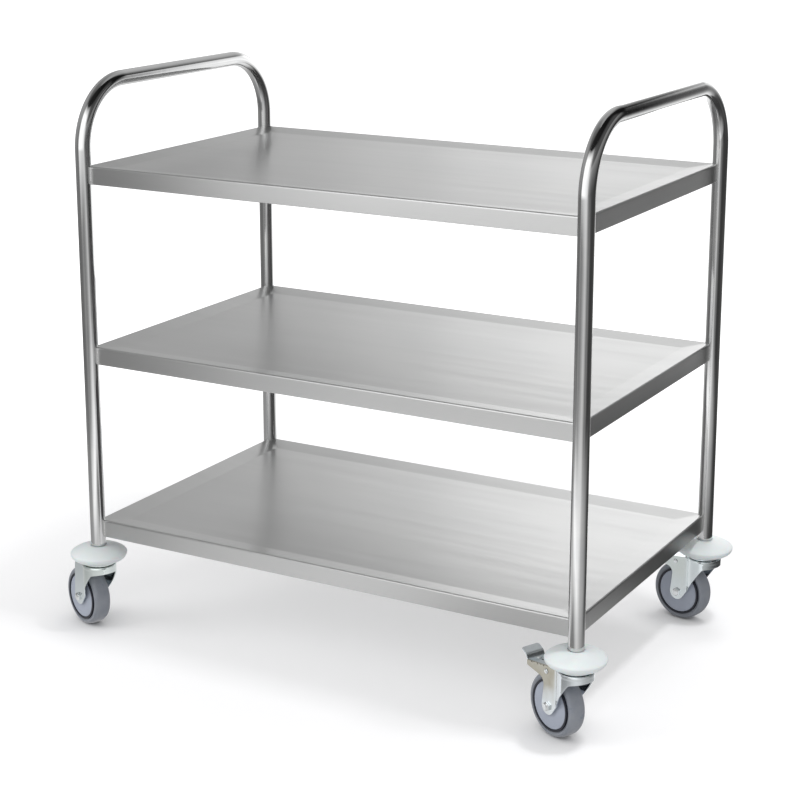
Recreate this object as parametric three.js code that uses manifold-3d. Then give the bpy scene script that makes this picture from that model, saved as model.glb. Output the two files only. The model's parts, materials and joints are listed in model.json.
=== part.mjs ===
// Three-tier stainless service cart on four swivel casters, two of them with foot brakes.
// Millimetres, Z up, standing on z = 0. X runs along the shelves and Y across them, with the
// side seen first at -Y. The casters trail towards -X, as they lie after a push to the right.

import * as THREE from 'three';
import { mergeVertices } from 'three/addons/utils/BufferGeometryUtils.js';
import Module from 'manifold-3d';

const wasm = await Module();
wasm.setup();

// Fits shared by all pieces
const seatGap = 0.3; // between pieces that touch
const runningGap = 0.5; // between pieces that turn against each other
const overrun = 5; // how far a cutter passes the face that it cuts

// End frames: one bent tube each
const postSpacingX = 875; // between post centre lines, along the shelves
const postSpacingY = 525; // between post centre lines, across the shelves
const tubeDiameter = 25;
const tubeWall = 1.2;
const bendRadius = 105; // centre line of the bend between post and handle
const handleRise = 143; // top shelf's rim to the top of the handle

// Shelves: one pressed sheet each
const shelfClearance = 44; // tube end to the bottom shelf's rim
const shelfPitch = 298; // rim to rim
const shelfCount = 3;
const shelfSheet = 1;
const skirtHeight = 29;
const skirtInset = 1; // skirt face inside the plane of the post centre lines
const rimRadius = 3;
const borderWidth = 38; // sloped border between rim and floor
const floorDepth = 5; // rim to the sunken floor
const hemHeight = 8; // doubled sheet along the skirt's lower edge

// Post inserts and bumpers
const insertHeight = 30;
const bumperHeight = 25.4;
const bumperRadius = 47;
const bumperFootRadius = 31;
const bumperNeckRadius = 14.5;
const bumperWaistHeight = 12; // widest ring above the bumper's foot

// Wheels
const wheelDiameter = 100;
const treadFlat = 10; // width of the flat middle of the tread
const tyreWidth = 30;
const tyreSeatWidth = 26; // also the width of the core's rim
const shoulderDepth = 6;
const tyreDepth = 10; // tread to the core's rim
const coreRimDepth = 7;
const coreWeb = 8;
const hubRadius = 8.5;
const discMargin = 3.5; // rim that shows round the disc
const discThickness = 1.5;

// Forks
const trail = 40; // axle behind the swivel axis
const wheelHeadroom = 25; // tyre's top to the caster's mounting face
const forkInnerWidth = 34;
const forkSheet = 2.5;
const bossRadius = 13.5; // rounded leg end about the axle
const crownRadius = 28;
const crownLip = 2.5; // raised edge of the crown above its floor
const noseDepth = 19; // mounting face to the lower edge of the crown's nose
const cheekDepth = 22; // mounting face to the corner between nose and leg
const cheekReach = 13; // that corner ahead of the swivel axis
const legOverhang = 9.5; // leg's rear edge behind the axle
const legShoulder = 12; // rounding of a plain leg's top rear corner

// Swivel heads, balls and bolts
const plateThickness = 3; // head's top plate
const plateRadius = 24;
const lipThickness = 3.4; // head's rolled edge
const lipDrop = 1.6; // mounting face to the top of the rolled edge
const rivetRadius = 9; // hollow rivet through the crown
const flareRadius = 14;
const flareThickness = 3;
const ballDiameter = 5.5;
const ballCount = 10;
const ballCircleRadius = 20;
const cageWidth = 2.6;
const cageThickness = 1.4;
const casterBoltDiameter = 10;
const casterBoltHeadWidth = 17; // across flats
const casterBoltHeadHeight = 6.4;

// Axles
const axleDiameter = 8;
const axleHeadWidth = 13; // across flats
const axleHeadHeight = 5.3;
const axleNutHeight = 6.5;
const axleTail = 2.5; // thread standing out of the nut

// Brakes
const brakeTravel = 12; // degrees that the pedal tips
const brakePinDiameter = 4.5;
const brakePinHeadDiameter = 8;
const brakePinHeadHeight = 1.8;
const brakePinBehindAxle = 4;
const brakePinAboveTyre = 4.5;
const cheekTailReach = 50; // side plate's tail behind the axle
const cheekTailDrop = 18; // mounting face to the top of the tail
const cheekTailHeight = 8.5;
const cheekRootReach = 16; // where the tail's lower edge meets the leg, behind the axle
const cheekRootDrop = 32.5; // mounting face to that place
const cheekLegDrop = 40; // mounting face to where the leg starts to widen
const pedalWidth = 33;
const pedalSheet = 2;
const pedalAhead = 10; // plate's front end ahead of the pin
const pedalFrontRise = 5.6; // plate's middle line above the pin, at its front end
const pedalBehind = 48; // fold behind the pin
const pedalFoldReach = 5;
const pedalFoldRise = 8;
const pedalTreadReach = 11;
const pedalTreadRise = 5.5;
const pedalEarReach = 8; // ear ahead of and behind the pin
const pedalEarDrop = 4; // ear's lower edge below the pin
const leafSheet = 1.2;
const leafWidth = 20;
const leafRootBehind = 45; // leaf's rear end behind the pin
const leafBendBehind = 38; // bend between the leaf's root and its shoe
const leafRivetDiameter = 5;
const leafRivetHeadDiameter = 8;
const leafRivetHeadHeight = 1.5;
const shoeRearAngle = 44; // degrees behind the top of the tyre
const shoeFrontAngle = 24;

// Facets of the round surfaces
const tubeSides = 16;
const bendSteps = 6;
const headSides = 16;
const roundSides = 20;
const tyreSides = 24;
const boltSides = 8;
const arcSteps = 3;
const bossSteps = 8;

// Heights and places that follow from the sizes above
const axleHeight = wheelDiameter / 2;
const coreRadius = wheelDiameter / 2 - tyreDepth;
const discRadius = coreRadius - discMargin;
const mountHeight = wheelDiameter + wheelHeadroom; // caster's mounting face
const bumperBottom = mountHeight + seatGap;
const tubeBottom = bumperBottom + bumperHeight + seatGap;
const bottomRim = tubeBottom + shelfClearance;
const topRim = bottomRim + (shelfCount - 1) * shelfPitch;
const handleHeight = topRim + handleRise - tubeDiameter / 2; // handle's centre line
const plateBottom = mountHeight - plateThickness;
const ballHeight = plateBottom - seatGap - ballDiameter / 2;
const crownFloor = ballHeight - ballDiameter / 2 - seatGap;
const crownCeiling = crownFloor - forkSheet;
const flareTop = crownCeiling - runningGap;
const flareBottom = flareTop - flareThickness;
const boltSpread = 1 / Math.cos(Math.PI / boltSides); // corner over flat of a faceted shank
const casterBoltRadius = casterBoltDiameter / 2;
const casterBoltHole = casterBoltRadius * boltSpread + seatGap;
const axleRadius = axleDiameter / 2;
const axleHole = axleRadius * boltSpread + seatGap;
const forkOuterWidth = forkInnerWidth + 2 * forkSheet;
const brakePinX = -trail - brakePinBehindAxle;
const brakePinHeight = wheelDiameter + brakePinAboveTyre;
const brakePinRadius = brakePinDiameter / 2;
const pedalSlope = Math.atan2(pedalFrontRise, pedalAhead + pedalBehind);

// Finishes
function finish(color, roughness, metalness) {
  return new THREE.MeshStandardMaterial({ color, roughness, metalness });
}
const polishedSteel = finish(0xb9bbbd, 0.14, 1);
const brushedSteel = finish(0xc3c5c6, 0.38, 1);
const zincSteel = finish(0xb7c0bf, 0.34, 1);
const bumperPlastic = finish(0xdde3e6, 0.5, 0);
const tyreRubber = finish(0x7d7f86, 0.72, 0);
const corePlastic = finish(0x272a33, 0.55, 0);
const discPlastic = finish(0x9a9fab, 0.5, 0);

// Turns a closed three.js geometry into a solid that can be joined and cut.
function solid(geometry) {
  const plain = geometry.clone();
  plain.deleteAttribute('normal');
  plain.deleteAttribute('uv');
  const merged = mergeVertices(plain);
  const corners = merged.index.array;
  const faces = [];
  for (let i = 0; i < corners.length; i += 3) {
    const [a, b, c] = corners.slice(i, i + 3);
    const isFace = a !== b && b !== c && c !== a;
    if (isFace) faces.push(a, b, c);
  }
  return new wasm.Manifold(new wasm.Mesh({
    numProp: 3,
    vertProperties: new Float32Array(merged.attributes.position.array),
    triVerts: new Uint32Array(faces),
  }));
}

function geometryOf(body) {
  const { vertProperties, triVerts } = body.getMesh();
  const geometry = new THREE.BufferGeometry();
  geometry.setAttribute('position', new THREE.BufferAttribute(vertProperties, 3));
  geometry.setIndex(new THREE.BufferAttribute(triVerts, 1));
  geometry.computeVertexNormals();
  return geometry;
}

function named(name, geometry, material) {
  const mesh = new THREE.Mesh(geometry, material);
  mesh.name = name;
  return mesh;
}

// Points of an elliptical arc, angles in degrees.
function arc(centreX, centreY, radiusX, radiusY, from, to, steps) {
  const points = [];
  for (let step = 0; step <= steps; step += 1) {
    const angle = THREE.MathUtils.degToRad(from + ((to - from) * step) / steps);
    points.push([centreX + radiusX * Math.cos(angle), centreY + radiusY * Math.sin(angle)]);
  }
  return points;
}

// A solid of revolution about Z. The profile lists [radius, height] counter-clockwise, and the
// flats of its facets, not their corners, lie on the stated radii.
function turned(profile, sides) {
  const spread = 1 / Math.cos(Math.PI / sides);
  const points = [...profile, profile[0]].map(
    ([radius, height]) => new THREE.Vector2(radius * spread, height),
  );
  return new THREE.LatheGeometry(points, sides, Math.PI / sides).rotateX(Math.PI / 2);
}

function turnedDisc(radius, bottom, top, sides) {
  return turned([[0, bottom], [radius, bottom], [radius, top], [0, top]], sides);
}

function turnedRing(inner, outer, bottom, top, sides) {
  return turned([[inner, bottom], [outer, bottom], [outer, top], [inner, top]], sides);
}

// Lays a piece turned about Z along the axle, so that its top points to -Y.
function alongAxle(geometry, x, height) {
  return geometry.rotateX(Math.PI / 2).translate(x, 0, height);
}

function outline(points) {
  return new THREE.Shape(points.map(([x, y]) => new THREE.Vector2(x, y)));
}

// A plate whose outline lies in the XZ plane, centred on y = 0.
function across(shape, width) {
  const geometry = new THREE.ExtrudeGeometry(shape, { depth: width, bevelEnabled: false });
  return geometry.rotateX(Math.PI / 2).translate(0, width / 2, 0);
}

// Outline of a bent strip of even thickness about a middle line.
function stripOutline(points, thickness) {
  const line = points.map(([x, y]) => new THREE.Vector2(x, y));
  const upper = [];
  const lower = [];
  line.forEach((point, index) => {
    const before = line[Math.max(index - 1, 0)];
    const after = line[Math.min(index + 1, line.length - 1)];
    const inward = point.clone().sub(index > 0 ? before : point).normalize();
    const outward = after.clone().sub(index < line.length - 1 ? point : after).normalize();
    const along = inward.clone().add(outward).normalize();
    const lead = index > 0 ? inward : outward;
    const reach = thickness / 2 / along.dot(lead);
    const side = new THREE.Vector2(-along.y, along.x).multiplyScalar(reach);
    upper.push(point.clone().add(side).toArray());
    lower.unshift(point.clone().sub(side).toArray());
  });
  return outline([...upper, ...lower]);
}

// Where a line from a point touches a circle; side +1 or -1 picks one of the two places.
function tangentPoint([x, y], [centreX, centreY], radius, side) {
  const distance = Math.hypot(x - centreX, y - centreY);
  const bearing = Math.atan2(y - centreY, x - centreX);
  const swing = side * Math.acos(radius / distance);
  return Math.atan2(Math.sin(bearing + swing), Math.cos(bearing + swing));
}

// The middle line of a bent end frame: up one post, round a bend, along the handle, round the
// other bend and down. Stations are spent on the bends and not on the straight stretches.
class FramePath extends THREE.Curve {
  getPoint(t, target = new THREE.Vector3()) {
    const stations = 2 * bendSteps + 3;
    const fromStart = t * stations;
    const mirrored = fromStart > stations / 2;
    const station = mirrored ? stations - fromStart : fromStart;
    const half = postSpacingY / 2;
    const springLine = handleHeight - bendRadius;
    let offset = half;
    let height = tubeBottom + (springLine - tubeBottom) * station;
    if (station > 1 + bendSteps) {
      offset = (half - bendRadius) * (1 - 2 * (station - 1 - bendSteps));
      height = handleHeight;
    } else if (station > 1) {
      const angle = ((station - 1) / bendSteps) * (Math.PI / 2);
      offset = half - bendRadius * (1 - Math.cos(angle));
      height = springLine + bendRadius * Math.sin(angle);
    }
    return target.set(0, mirrored ? offset : -offset, height);
  }

  getUtoTmapping(u) {
    return u;
  }
}

function ringPath(radius, sides) {
  const reach = radius / Math.cos(Math.PI / sides);
  const points = [];
  for (let side = 0; side < sides; side += 1) {
    const angle = ((side + 1 / 2) / sides) * 2 * Math.PI;
    points.push(new THREE.Vector2(reach * Math.cos(angle), reach * Math.sin(angle)));
  }
  return points;
}

function endFrame() {
  const section = new THREE.Shape(ringPath(tubeDiameter / 2, tubeSides));
  section.holes.push(new THREE.Path(ringPath(tubeDiameter / 2 - tubeWall, tubeSides)));
  const path = new FramePath();
  return new THREE.ExtrudeGeometry(section, { steps: 2 * bendSteps + 3, extrudePath: path });
}

// A closed shell of rectangular rings, each given by how far it lies inside the skirt's face
// and by its height. The first and last rings are closed with flat faces.
function rectangularShell(halfX, halfY, rings) {
  const positions = [];
  rings.forEach(([inset, height]) => {
    const x = halfX - inset;
    const y = halfY - inset;
    positions.push(-x, -y, height, x, -y, height, x, y, height, -x, y, height);
  });
  const faces = [0, 2, 1, 0, 3, 2];
  for (let ring = 0; ring < rings.length - 1; ring += 1) {
    for (let side = 0; side < 4; side += 1) {
      const a = 4 * ring + side;
      const b = 4 * ring + ((side + 1) % 4);
      faces.push(a, b, b + 4, a, b + 4, a + 4);
    }
  }
  const last = 4 * (rings.length - 1);
  faces.push(last, last + 1, last + 2, last, last + 2, last + 3);
  const geometry = new THREE.BufferGeometry();
  geometry.setAttribute('position', new THREE.Float32BufferAttribute(positions, 3));
  geometry.setIndex(faces);
  return geometry;
}

// One shelf with its rim at z = 0, notched round the four posts.
function shelf() {
  const halfX = postSpacingX / 2 - skirtInset;
  const halfY = postSpacingY / 2 - skirtInset;
  const innerRadius = rimRadius - shelfSheet;
  const innerBend = arc(rimRadius, -rimRadius, innerRadius, innerRadius, 90, 180, arcSteps);
  const outerBend = arc(rimRadius, -rimRadius, rimRadius, rimRadius, 180, 90, arcSteps);
  const rings = [
    [borderWidth, -floorDepth - shelfSheet],
    ...innerBend,
    [shelfSheet, hemHeight - skirtHeight],
    [2 * shelfSheet, hemHeight - skirtHeight],
    [2 * shelfSheet, -skirtHeight],
    [0, -skirtHeight],
    ...outerBend,
    [borderWidth, -floorDepth],
  ];
  let body = solid(rectangularShell(halfX, halfY, rings));
  [-1, 1].forEach((sideX) => {
    [-1, 1].forEach((sideY) => {
      const notch = turnedDisc(tubeDiameter / 2 + seatGap, -skirtHeight - overrun, overrun, tubeSides);
      notch.translate((sideX * postSpacingX) / 2, (sideY * postSpacingY) / 2, 0);
      body = body.subtract(solid(notch));
    });
  });
  return geometryOf(body);
}

// Threaded plug in the tube's end
function postInsert() {
  const radius = tubeDiameter / 2 - tubeWall - seatGap;
  return turnedRing(casterBoltHole, radius, tubeBottom, tubeBottom + insertHeight, tubeSides);
}

// Domed plastic disc between tube and caster
function bumper() {
  const waist = bumperBottom + bumperWaistHeight;
  const top = bumperBottom + bumperHeight;
  const footReach = bumperRadius - bumperFootRadius;
  const domeReach = bumperRadius - bumperNeckRadius;
  return turned([
    [casterBoltHole, bumperBottom],
    ...arc(bumperFootRadius, waist, footReach, bumperWaistHeight, -90, 0, arcSteps - 1),
    ...arc(bumperNeckRadius, waist, domeReach, top - waist, 0, 90, arcSteps).slice(1),
    [casterBoltHole, top],
  ], roundSides);
}

// Upper race plate with a rolled edge and the hollow rivet that carries the crown
function swivelHead() {
  const lipTop = mountHeight - lipDrop;
  const lipInner = crownRadius - forkSheet - runningGap;
  return turned([
    [casterBoltHole, flareBottom],
    [flareRadius, flareBottom],
    [flareRadius, flareTop],
    [rivetRadius, flareTop],
    [rivetRadius, plateBottom],
    [lipInner, plateBottom],
    [lipInner, lipTop - lipThickness],
    [crownRadius, lipTop - lipThickness],
    [crownRadius, lipTop],
    [plateRadius, lipTop],
    [plateRadius, mountHeight],
    [casterBoltHole, mountHeight],
  ], headSides);
}

// Balls held in a thin cage
function ballRing() {
  const inner = ballCircleRadius - cageWidth / 2;
  const outer = ballCircleRadius + cageWidth / 2;
  const bottom = ballHeight - cageThickness / 2;
  let body = solid(turnedRing(inner, outer, bottom, bottom + cageThickness, ballCount));
  for (let ball = 0; ball < ballCount; ball += 1) {
    const angle = (ball / ballCount) * 2 * Math.PI;
    const x = ballCircleRadius * Math.cos(angle);
    const y = ballCircleRadius * Math.sin(angle);
    const sphere = new THREE.OctahedronGeometry(ballDiameter / 2).translate(x, y, ballHeight);
    body = body.add(solid(sphere));
  }
  return geometryOf(body);
}

// Bolt that draws the caster and the bumper up to the insert
function casterBolt() {
  const headTop = flareBottom - seatGap;
  const head = turnedDisc(casterBoltHeadWidth / 2, headTop - casterBoltHeadHeight, headTop, 6);
  const shankTop = tubeBottom + insertHeight;
  const shank = turnedDisc(casterBoltRadius, headTop - casterBoltHeadHeight / 2, shankTop, boltSides);
  return geometryOf(solid(head).add(solid(shank)));
}

// Outline of the leg and nose in the XZ plane, from the crown's front down round the axle; a
// braked fork's side plate runs on behind the leg to shield the pedal.
function forkOutline(braked) {
  const front = crownRadius + overrun;
  const cheekCorner = [cheekReach, mountHeight - cheekDepth];
  const axle = [-trail, axleHeight];
  const legRear = -trail - legOverhang;
  const rear = braked ? [
    [legRear, mountHeight - cheekLegDrop],
    [-trail - cheekRootReach, mountHeight - cheekRootDrop],
    [-trail - cheekTailReach, mountHeight - cheekTailDrop - cheekTailHeight],
    [-trail - cheekTailReach, mountHeight - cheekTailDrop],
    [-crownRadius, crownFloor],
  ] : arc(legRear + legShoulder, crownFloor - legShoulder, legShoulder, legShoulder, 180, 90, arcSteps);
  const frontAngle = tangentPoint(cheekCorner, axle, bossRadius, -1);
  const rearAngle = tangentPoint(rear[0], axle, bossRadius, 1);
  const bossFrom = THREE.MathUtils.radToDeg(frontAngle);
  const bossTo = THREE.MathUtils.radToDeg(rearAngle) - 360;
  return outline([
    [front, crownFloor],
    [front, mountHeight - noseDepth],
    cheekCorner,
    ...arc(-trail, axleHeight, bossRadius, bossRadius, bossFrom, bossTo, bossSteps),
    ...rear,
  ]);
}

// A box between two corners
function block(from, to) {
  const size = to.map((value, axis) => value - from[axis]);
  const middle = to.map((value, axis) => (value + from[axis]) / 2);
  return new THREE.BoxGeometry(...size).translate(...middle);
}

// Pressed fork: a round crown whose skirt runs down into two legs
function fork(braked) {
  const side = forkOutline(braked);
  const far = trail + cheekTailReach + overrun;
  const innerHalf = forkInnerWidth / 2;
  const nose = solid(across(side, 2 * crownRadius + overrun))
    .intersect(solid(turnedDisc(crownRadius, 0, crownFloor, roundSides)));
  const legs = solid(across(side, forkOuterWidth))
    .intersect(solid(block([-far, -forkOuterWidth, 0], [0, forkOuterWidth, crownFloor])));
  const crownInner = crownRadius - forkSheet;
  const lipTop = crownFloor + crownLip;
  const lipRing = turnedRing(crownInner, crownRadius, crownCeiling, lipTop, roundSides);
  let body = nose.add(legs).add(solid(lipRing));
  const hollow = solid(turnedDisc(crownInner, -overrun, crownCeiling, roundSides));
  const slot = solid(block([-far, -innerHalf, -overrun], [0, innerHalf, crownCeiling]));
  const holeRadius = rivetRadius + runningGap;
  const rivetHole = turnedDisc(holeRadius, crownCeiling - overrun, lipTop, headSides);
  body = body.subtract(hollow).subtract(slot).subtract(solid(rivetHole));
  const axleBore = turnedDisc(axleHole, -forkOuterWidth, forkOuterWidth, boltSides);
  body = body.subtract(solid(alongAxle(axleBore, -trail, axleHeight)));
  if (braked) {
    const pinBore = turnedDisc(brakePinRadius + seatGap, -forkOuterWidth, forkOuterWidth, boltSides);
    const opening = block([-far, -innerHalf, -overrun], [-crownRadius, innerHalf, mountHeight]);
    body = body.subtract(solid(opening));
    body = body.subtract(solid(alongAxle(pinBore, brakePinX, brakePinHeight)));
  }
  return geometryOf(body);
}

// Axle bolt, its hexagon head on the -Y leg
function axleBolt() {
  const seat = forkOuterWidth / 2 + seatGap;
  const tail = seat + axleNutHeight + axleTail;
  const head = turnedDisc(axleHeadWidth / 2, seat, seat + axleHeadHeight, 6);
  const shank = turnedDisc(axleRadius, -tail, seat + axleHeadHeight / 2, boltSides);
  return alongAxle(geometryOf(solid(head).add(solid(shank))), -trail, axleHeight);
}

function axleNut() {
  const seat = forkOuterWidth / 2 + seatGap;
  const blank = solid(turnedDisc(axleHeadWidth / 2, -seat - axleNutHeight, -seat, 6));
  const bore = solid(turnedDisc(axleHole, -seat - axleNutHeight - overrun, overrun, boltSides));
  return alongAxle(geometryOf(blank.subtract(bore)), -trail, axleHeight);
}

// Wheel body: hub, web and rim
function wheelCore() {
  const hubHalf = forkInnerWidth / 2 - seatGap;
  const webHalf = coreWeb / 2;
  const rimHalf = tyreSeatWidth / 2;
  const rimInner = coreRadius - coreRimDepth;
  const core = turned([
    [axleHole, -hubHalf],
    [hubRadius, -hubHalf],
    [hubRadius, -webHalf],
    [rimInner, -webHalf],
    [rimInner, -rimHalf],
    [coreRadius, -rimHalf],
    [coreRadius, rimHalf],
    [rimInner, rimHalf],
    [rimInner, webHalf],
    [hubRadius, webHalf],
    [hubRadius, hubHalf],
    [axleHole, hubHalf],
  ], roundSides);
  return alongAxle(core, -trail, axleHeight);
}

// Tread with a flat middle and rounded shoulders
function tyre() {
  const inner = coreRadius / Math.cos(Math.PI / roundSides) + seatGap;
  const tread = wheelDiameter / 2;
  const half = tyreWidth / 2;
  const flat = treadFlat / 2;
  const shoulder = tread - shoulderDepth;
  const ring = turned([
    [inner, -tyreSeatWidth / 2],
    ...arc(shoulder, -flat, shoulderDepth, half - flat, -90, 0, arcSteps - 1),
    ...arc(shoulder, flat, shoulderDepth, half - flat, 0, 90, arcSteps - 1),
    [inner, tyreSeatWidth / 2],
  ], tyreSides);
  return alongAxle(ring, -trail, axleHeight);
}

// Flat cover on one face of the wheel; side +1 is the -Y face
function wheelDisc(side) {
  const seat = tyreSeatWidth / 2 + seatGap;
  const face = seat + discThickness;
  const disc = turned([
    [hubRadius + seatGap, seat],
    [discRadius, seat],
    [discRadius, face],
    [hubRadius + seatGap, face],
  ], roundSides);
  if (side < 0) disc.rotateX(Math.PI);
  return alongAxle(disc, -trail, axleHeight);
}

// Middle line of the pedal's plate: height above the pin at a place behind it
function pedalRise(behind) {
  return pedalFrontRise - (pedalAhead + behind) * Math.tan(pedalSlope);
}

// Foot pedal: sloping plate, fold, tread and two ears on the pin
function brakePedal() {
  const fold = -pedalBehind;
  const plate = stripOutline([
    [fold - pedalFoldReach - pedalTreadReach, pedalRise(pedalBehind) + pedalFoldRise + pedalTreadRise],
    [fold - pedalFoldReach, pedalRise(pedalBehind) + pedalFoldRise],
    [fold, pedalRise(pedalBehind)],
    [pedalAhead, pedalFrontRise],
  ], pedalSheet);
  let body = solid(across(plate, pedalWidth));
  const earHalf = pedalWidth / 2 - pedalSheet;
  const ears = outline([
    [-pedalEarReach, -pedalEarDrop],
    [pedalEarReach, -pedalEarDrop],
    [pedalEarReach, pedalRise(-pedalEarReach)],
    [-pedalEarReach, pedalRise(pedalEarReach)],
  ]);
  const gap = block([-pedalBehind, -earHalf, -overrun - pedalEarDrop], [pedalAhead, earHalf, pedalFrontRise]);
  body = body.add(solid(across(ears, pedalWidth)).subtract(solid(gap)));
  const pinBore = turnedDisc(brakePinRadius + seatGap, -pedalWidth, pedalWidth, boltSides);
  body = body.subtract(solid(alongAxle(pinBore, 0, 0)));
  const rivetX = -(leafRootBehind + leafBendBehind) / 2;
  const rivetBore = turnedDisc(leafRivetDiameter / 2 + seatGap, -overrun, overrun, boltSides);
  body = body.subtract(solid(rivetBore.rotateY(-pedalSlope).translate(rivetX, 0, pedalRise(-rivetX))));
  return geometryOf(body).translate(brakePinX, 0, brakePinHeight);
}

// A place on the leaf's shoe, lifted from where it meets the tyre to where it rests
function shoePoint(angle) {
  const behindTop = THREE.MathUtils.degToRad(angle);
  const lift = THREE.MathUtils.degToRad(brakeTravel);
  const radius = wheelDiameter / 2 + runningGap + leafSheet / 2;
  const x = -trail - radius * Math.sin(behindTop) - brakePinX;
  const z = axleHeight + radius * Math.cos(behindTop) - brakePinHeight;
  return [x * Math.cos(lift) + z * Math.sin(lift), z * Math.cos(lift) - x * Math.sin(lift)];
}

// Spring leaf riveted under the pedal; its curved shoe bears on the tyre when the pedal is down
function brakeLeaf() {
  const drop = (pedalSheet + leafSheet) / 2 + seatGap;
  const line = [
    [-leafRootBehind, pedalRise(leafRootBehind) - drop],
    [-leafBendBehind, pedalRise(leafBendBehind) - drop],
  ];
  for (let step = 0; step <= arcSteps; step += 1) {
    line.push(shoePoint(shoeRearAngle + ((shoeFrontAngle - shoeRearAngle) * step) / arcSteps));
  }
  let body = solid(across(stripOutline(line, leafSheet), leafWidth));
  const rivetX = -(leafRootBehind + leafBendBehind) / 2;
  const rivetBase = pedalRise(-rivetX);
  const headBottom = pedalSheet / 2 + seatGap;
  const rivet = turned([
    [0, -drop],
    [leafRivetDiameter / 2, -drop],
    [leafRivetDiameter / 2, headBottom],
    [leafRivetHeadDiameter / 2, headBottom],
    [leafRivetDiameter / 2, headBottom + leafRivetHeadHeight],
    [0, headBottom + leafRivetHeadHeight],
  ], boltSides).rotateY(-pedalSlope).translate(rivetX, 0, rivetBase);
  body = body.add(solid(rivet));
  return geometryOf(body).translate(brakePinX, 0, brakePinHeight);
}

// Rivet that carries the pedal between the fork's side plates
function pedalPin() {
  const seat = forkOuterWidth / 2 + seatGap;
  const headRadius = brakePinHeadDiameter / 2;
  const crest = seat + brakePinHeadHeight;
  const pin = turned([
    [0, -crest],
    [brakePinRadius, -crest],
    [headRadius, -seat],
    [brakePinRadius, -seat],
    [brakePinRadius, seat],
    [headRadius, seat],
    [brakePinRadius, crest],
    [0, crest],
  ], boltSides);
  return alongAxle(pin, brakePinX, brakePinHeight);
}

// Shapes that repeat at the casters, made once
const shapes = {
  insert: postInsert(),
  bumper: bumper(),
  head: swivelHead(),
  bolt: casterBolt(),
  balls: ballRing(),
  plainFork: fork(false),
  brakedFork: fork(true),
  axle: axleBolt(),
  nut: axleNut(),
  core: wheelCore(),
  tyre: tyre(),
  frontDisc: wheelDisc(1),
  rearDisc: wheelDisc(-1),
  pedal: brakePedal(),
  leaf: brakeLeaf(),
  pin: pedalPin(),
};

// One caster under its post; what swivels is turned by its own angle.
function caster({ corner, x, y, swing, braked }) {
  const swivelling = new THREE.Group();
  swivelling.rotation.z = -THREE.MathUtils.degToRad(swing);
  swivelling.add(
    named(`${corner}_ball_ring`, shapes.balls, polishedSteel),
    named(`${corner}_fork`, braked ? shapes.brakedFork : shapes.plainFork, zincSteel),
    named(`${corner}_axle_bolt`, shapes.axle, zincSteel),
    named(`${corner}_axle_nut`, shapes.nut, zincSteel),
    named(`${corner}_wheel_core`, shapes.core, corePlastic),
    named(`${corner}_tyre`, shapes.tyre, tyreRubber),
    named(`${corner}_front_disc`, shapes.frontDisc, discPlastic),
    named(`${corner}_rear_disc`, shapes.rearDisc, discPlastic),
  );
  if (braked) {
    swivelling.add(
      named(`${corner}_brake_pedal`, shapes.pedal, zincSteel),
      named(`${corner}_brake_leaf`, shapes.leaf, zincSteel),
      named(`${corner}_pedal_pin`, shapes.pin, zincSteel),
    );
  }
  const whole = new THREE.Group();
  whole.position.set(x, y, 0);
  whole.add(
    named(`${corner}_post_insert`, shapes.insert, zincSteel),
    named(`${corner}_bumper`, shapes.bumper, bumperPlastic),
    named(`${corner}_swivel_head`, shapes.head, zincSteel),
    named(`${corner}_caster_bolt`, shapes.bolt, zincSteel),
    swivelling,
  );
  return whole;
}

const halfX = postSpacingX / 2;
const halfY = postSpacingY / 2;
const cart = new THREE.Group();

// End frames
const frameShape = endFrame();
[['left_end_frame', -halfX], ['right_end_frame', halfX]].forEach(([name, x]) => {
  const frame = named(name, frameShape, polishedSteel);
  frame.position.x = x;
  cart.add(frame);
});

// Shelves
const shelfShape = shelf();
['bottom_shelf', 'middle_shelf', 'top_shelf'].forEach((name, tier) => {
  const plate = named(name, shelfShape, brushedSteel);
  plate.position.z = bottomRim + tier * shelfPitch;
  cart.add(plate);
});

// Casters, with the angle in degrees by which each trails towards +Y
[
  { corner: 'front_left', x: -halfX, y: -halfY, swing: 22, braked: false },
  { corner: 'front_right', x: halfX, y: -halfY, swing: 26, braked: true },
  { corner: 'rear_left', x: -halfX, y: halfY, swing: 20, braked: false },
  { corner: 'rear_right', x: halfX, y: halfY, swing: 13, braked: true },
].forEach((place) => cart.add(caster(place)));

// The origin lies on the floor under the middle of the whole cart.
const middle = new THREE.Box3().setFromObject(cart, true).getCenter(new THREE.Vector3());
cart.position.set(-middle.x, -middle.y, 0);
const group = new THREE.Group();
group.add(cart);

export default group;
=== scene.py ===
# Looks of the service cart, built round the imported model. Sizes are in millimetres, as in the
# part, and places come from the frame. Blender's own units are metres.

import json
import math
import random

import bmesh
import bpy
from mathutils import Matrix, Vector, geometry


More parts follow.
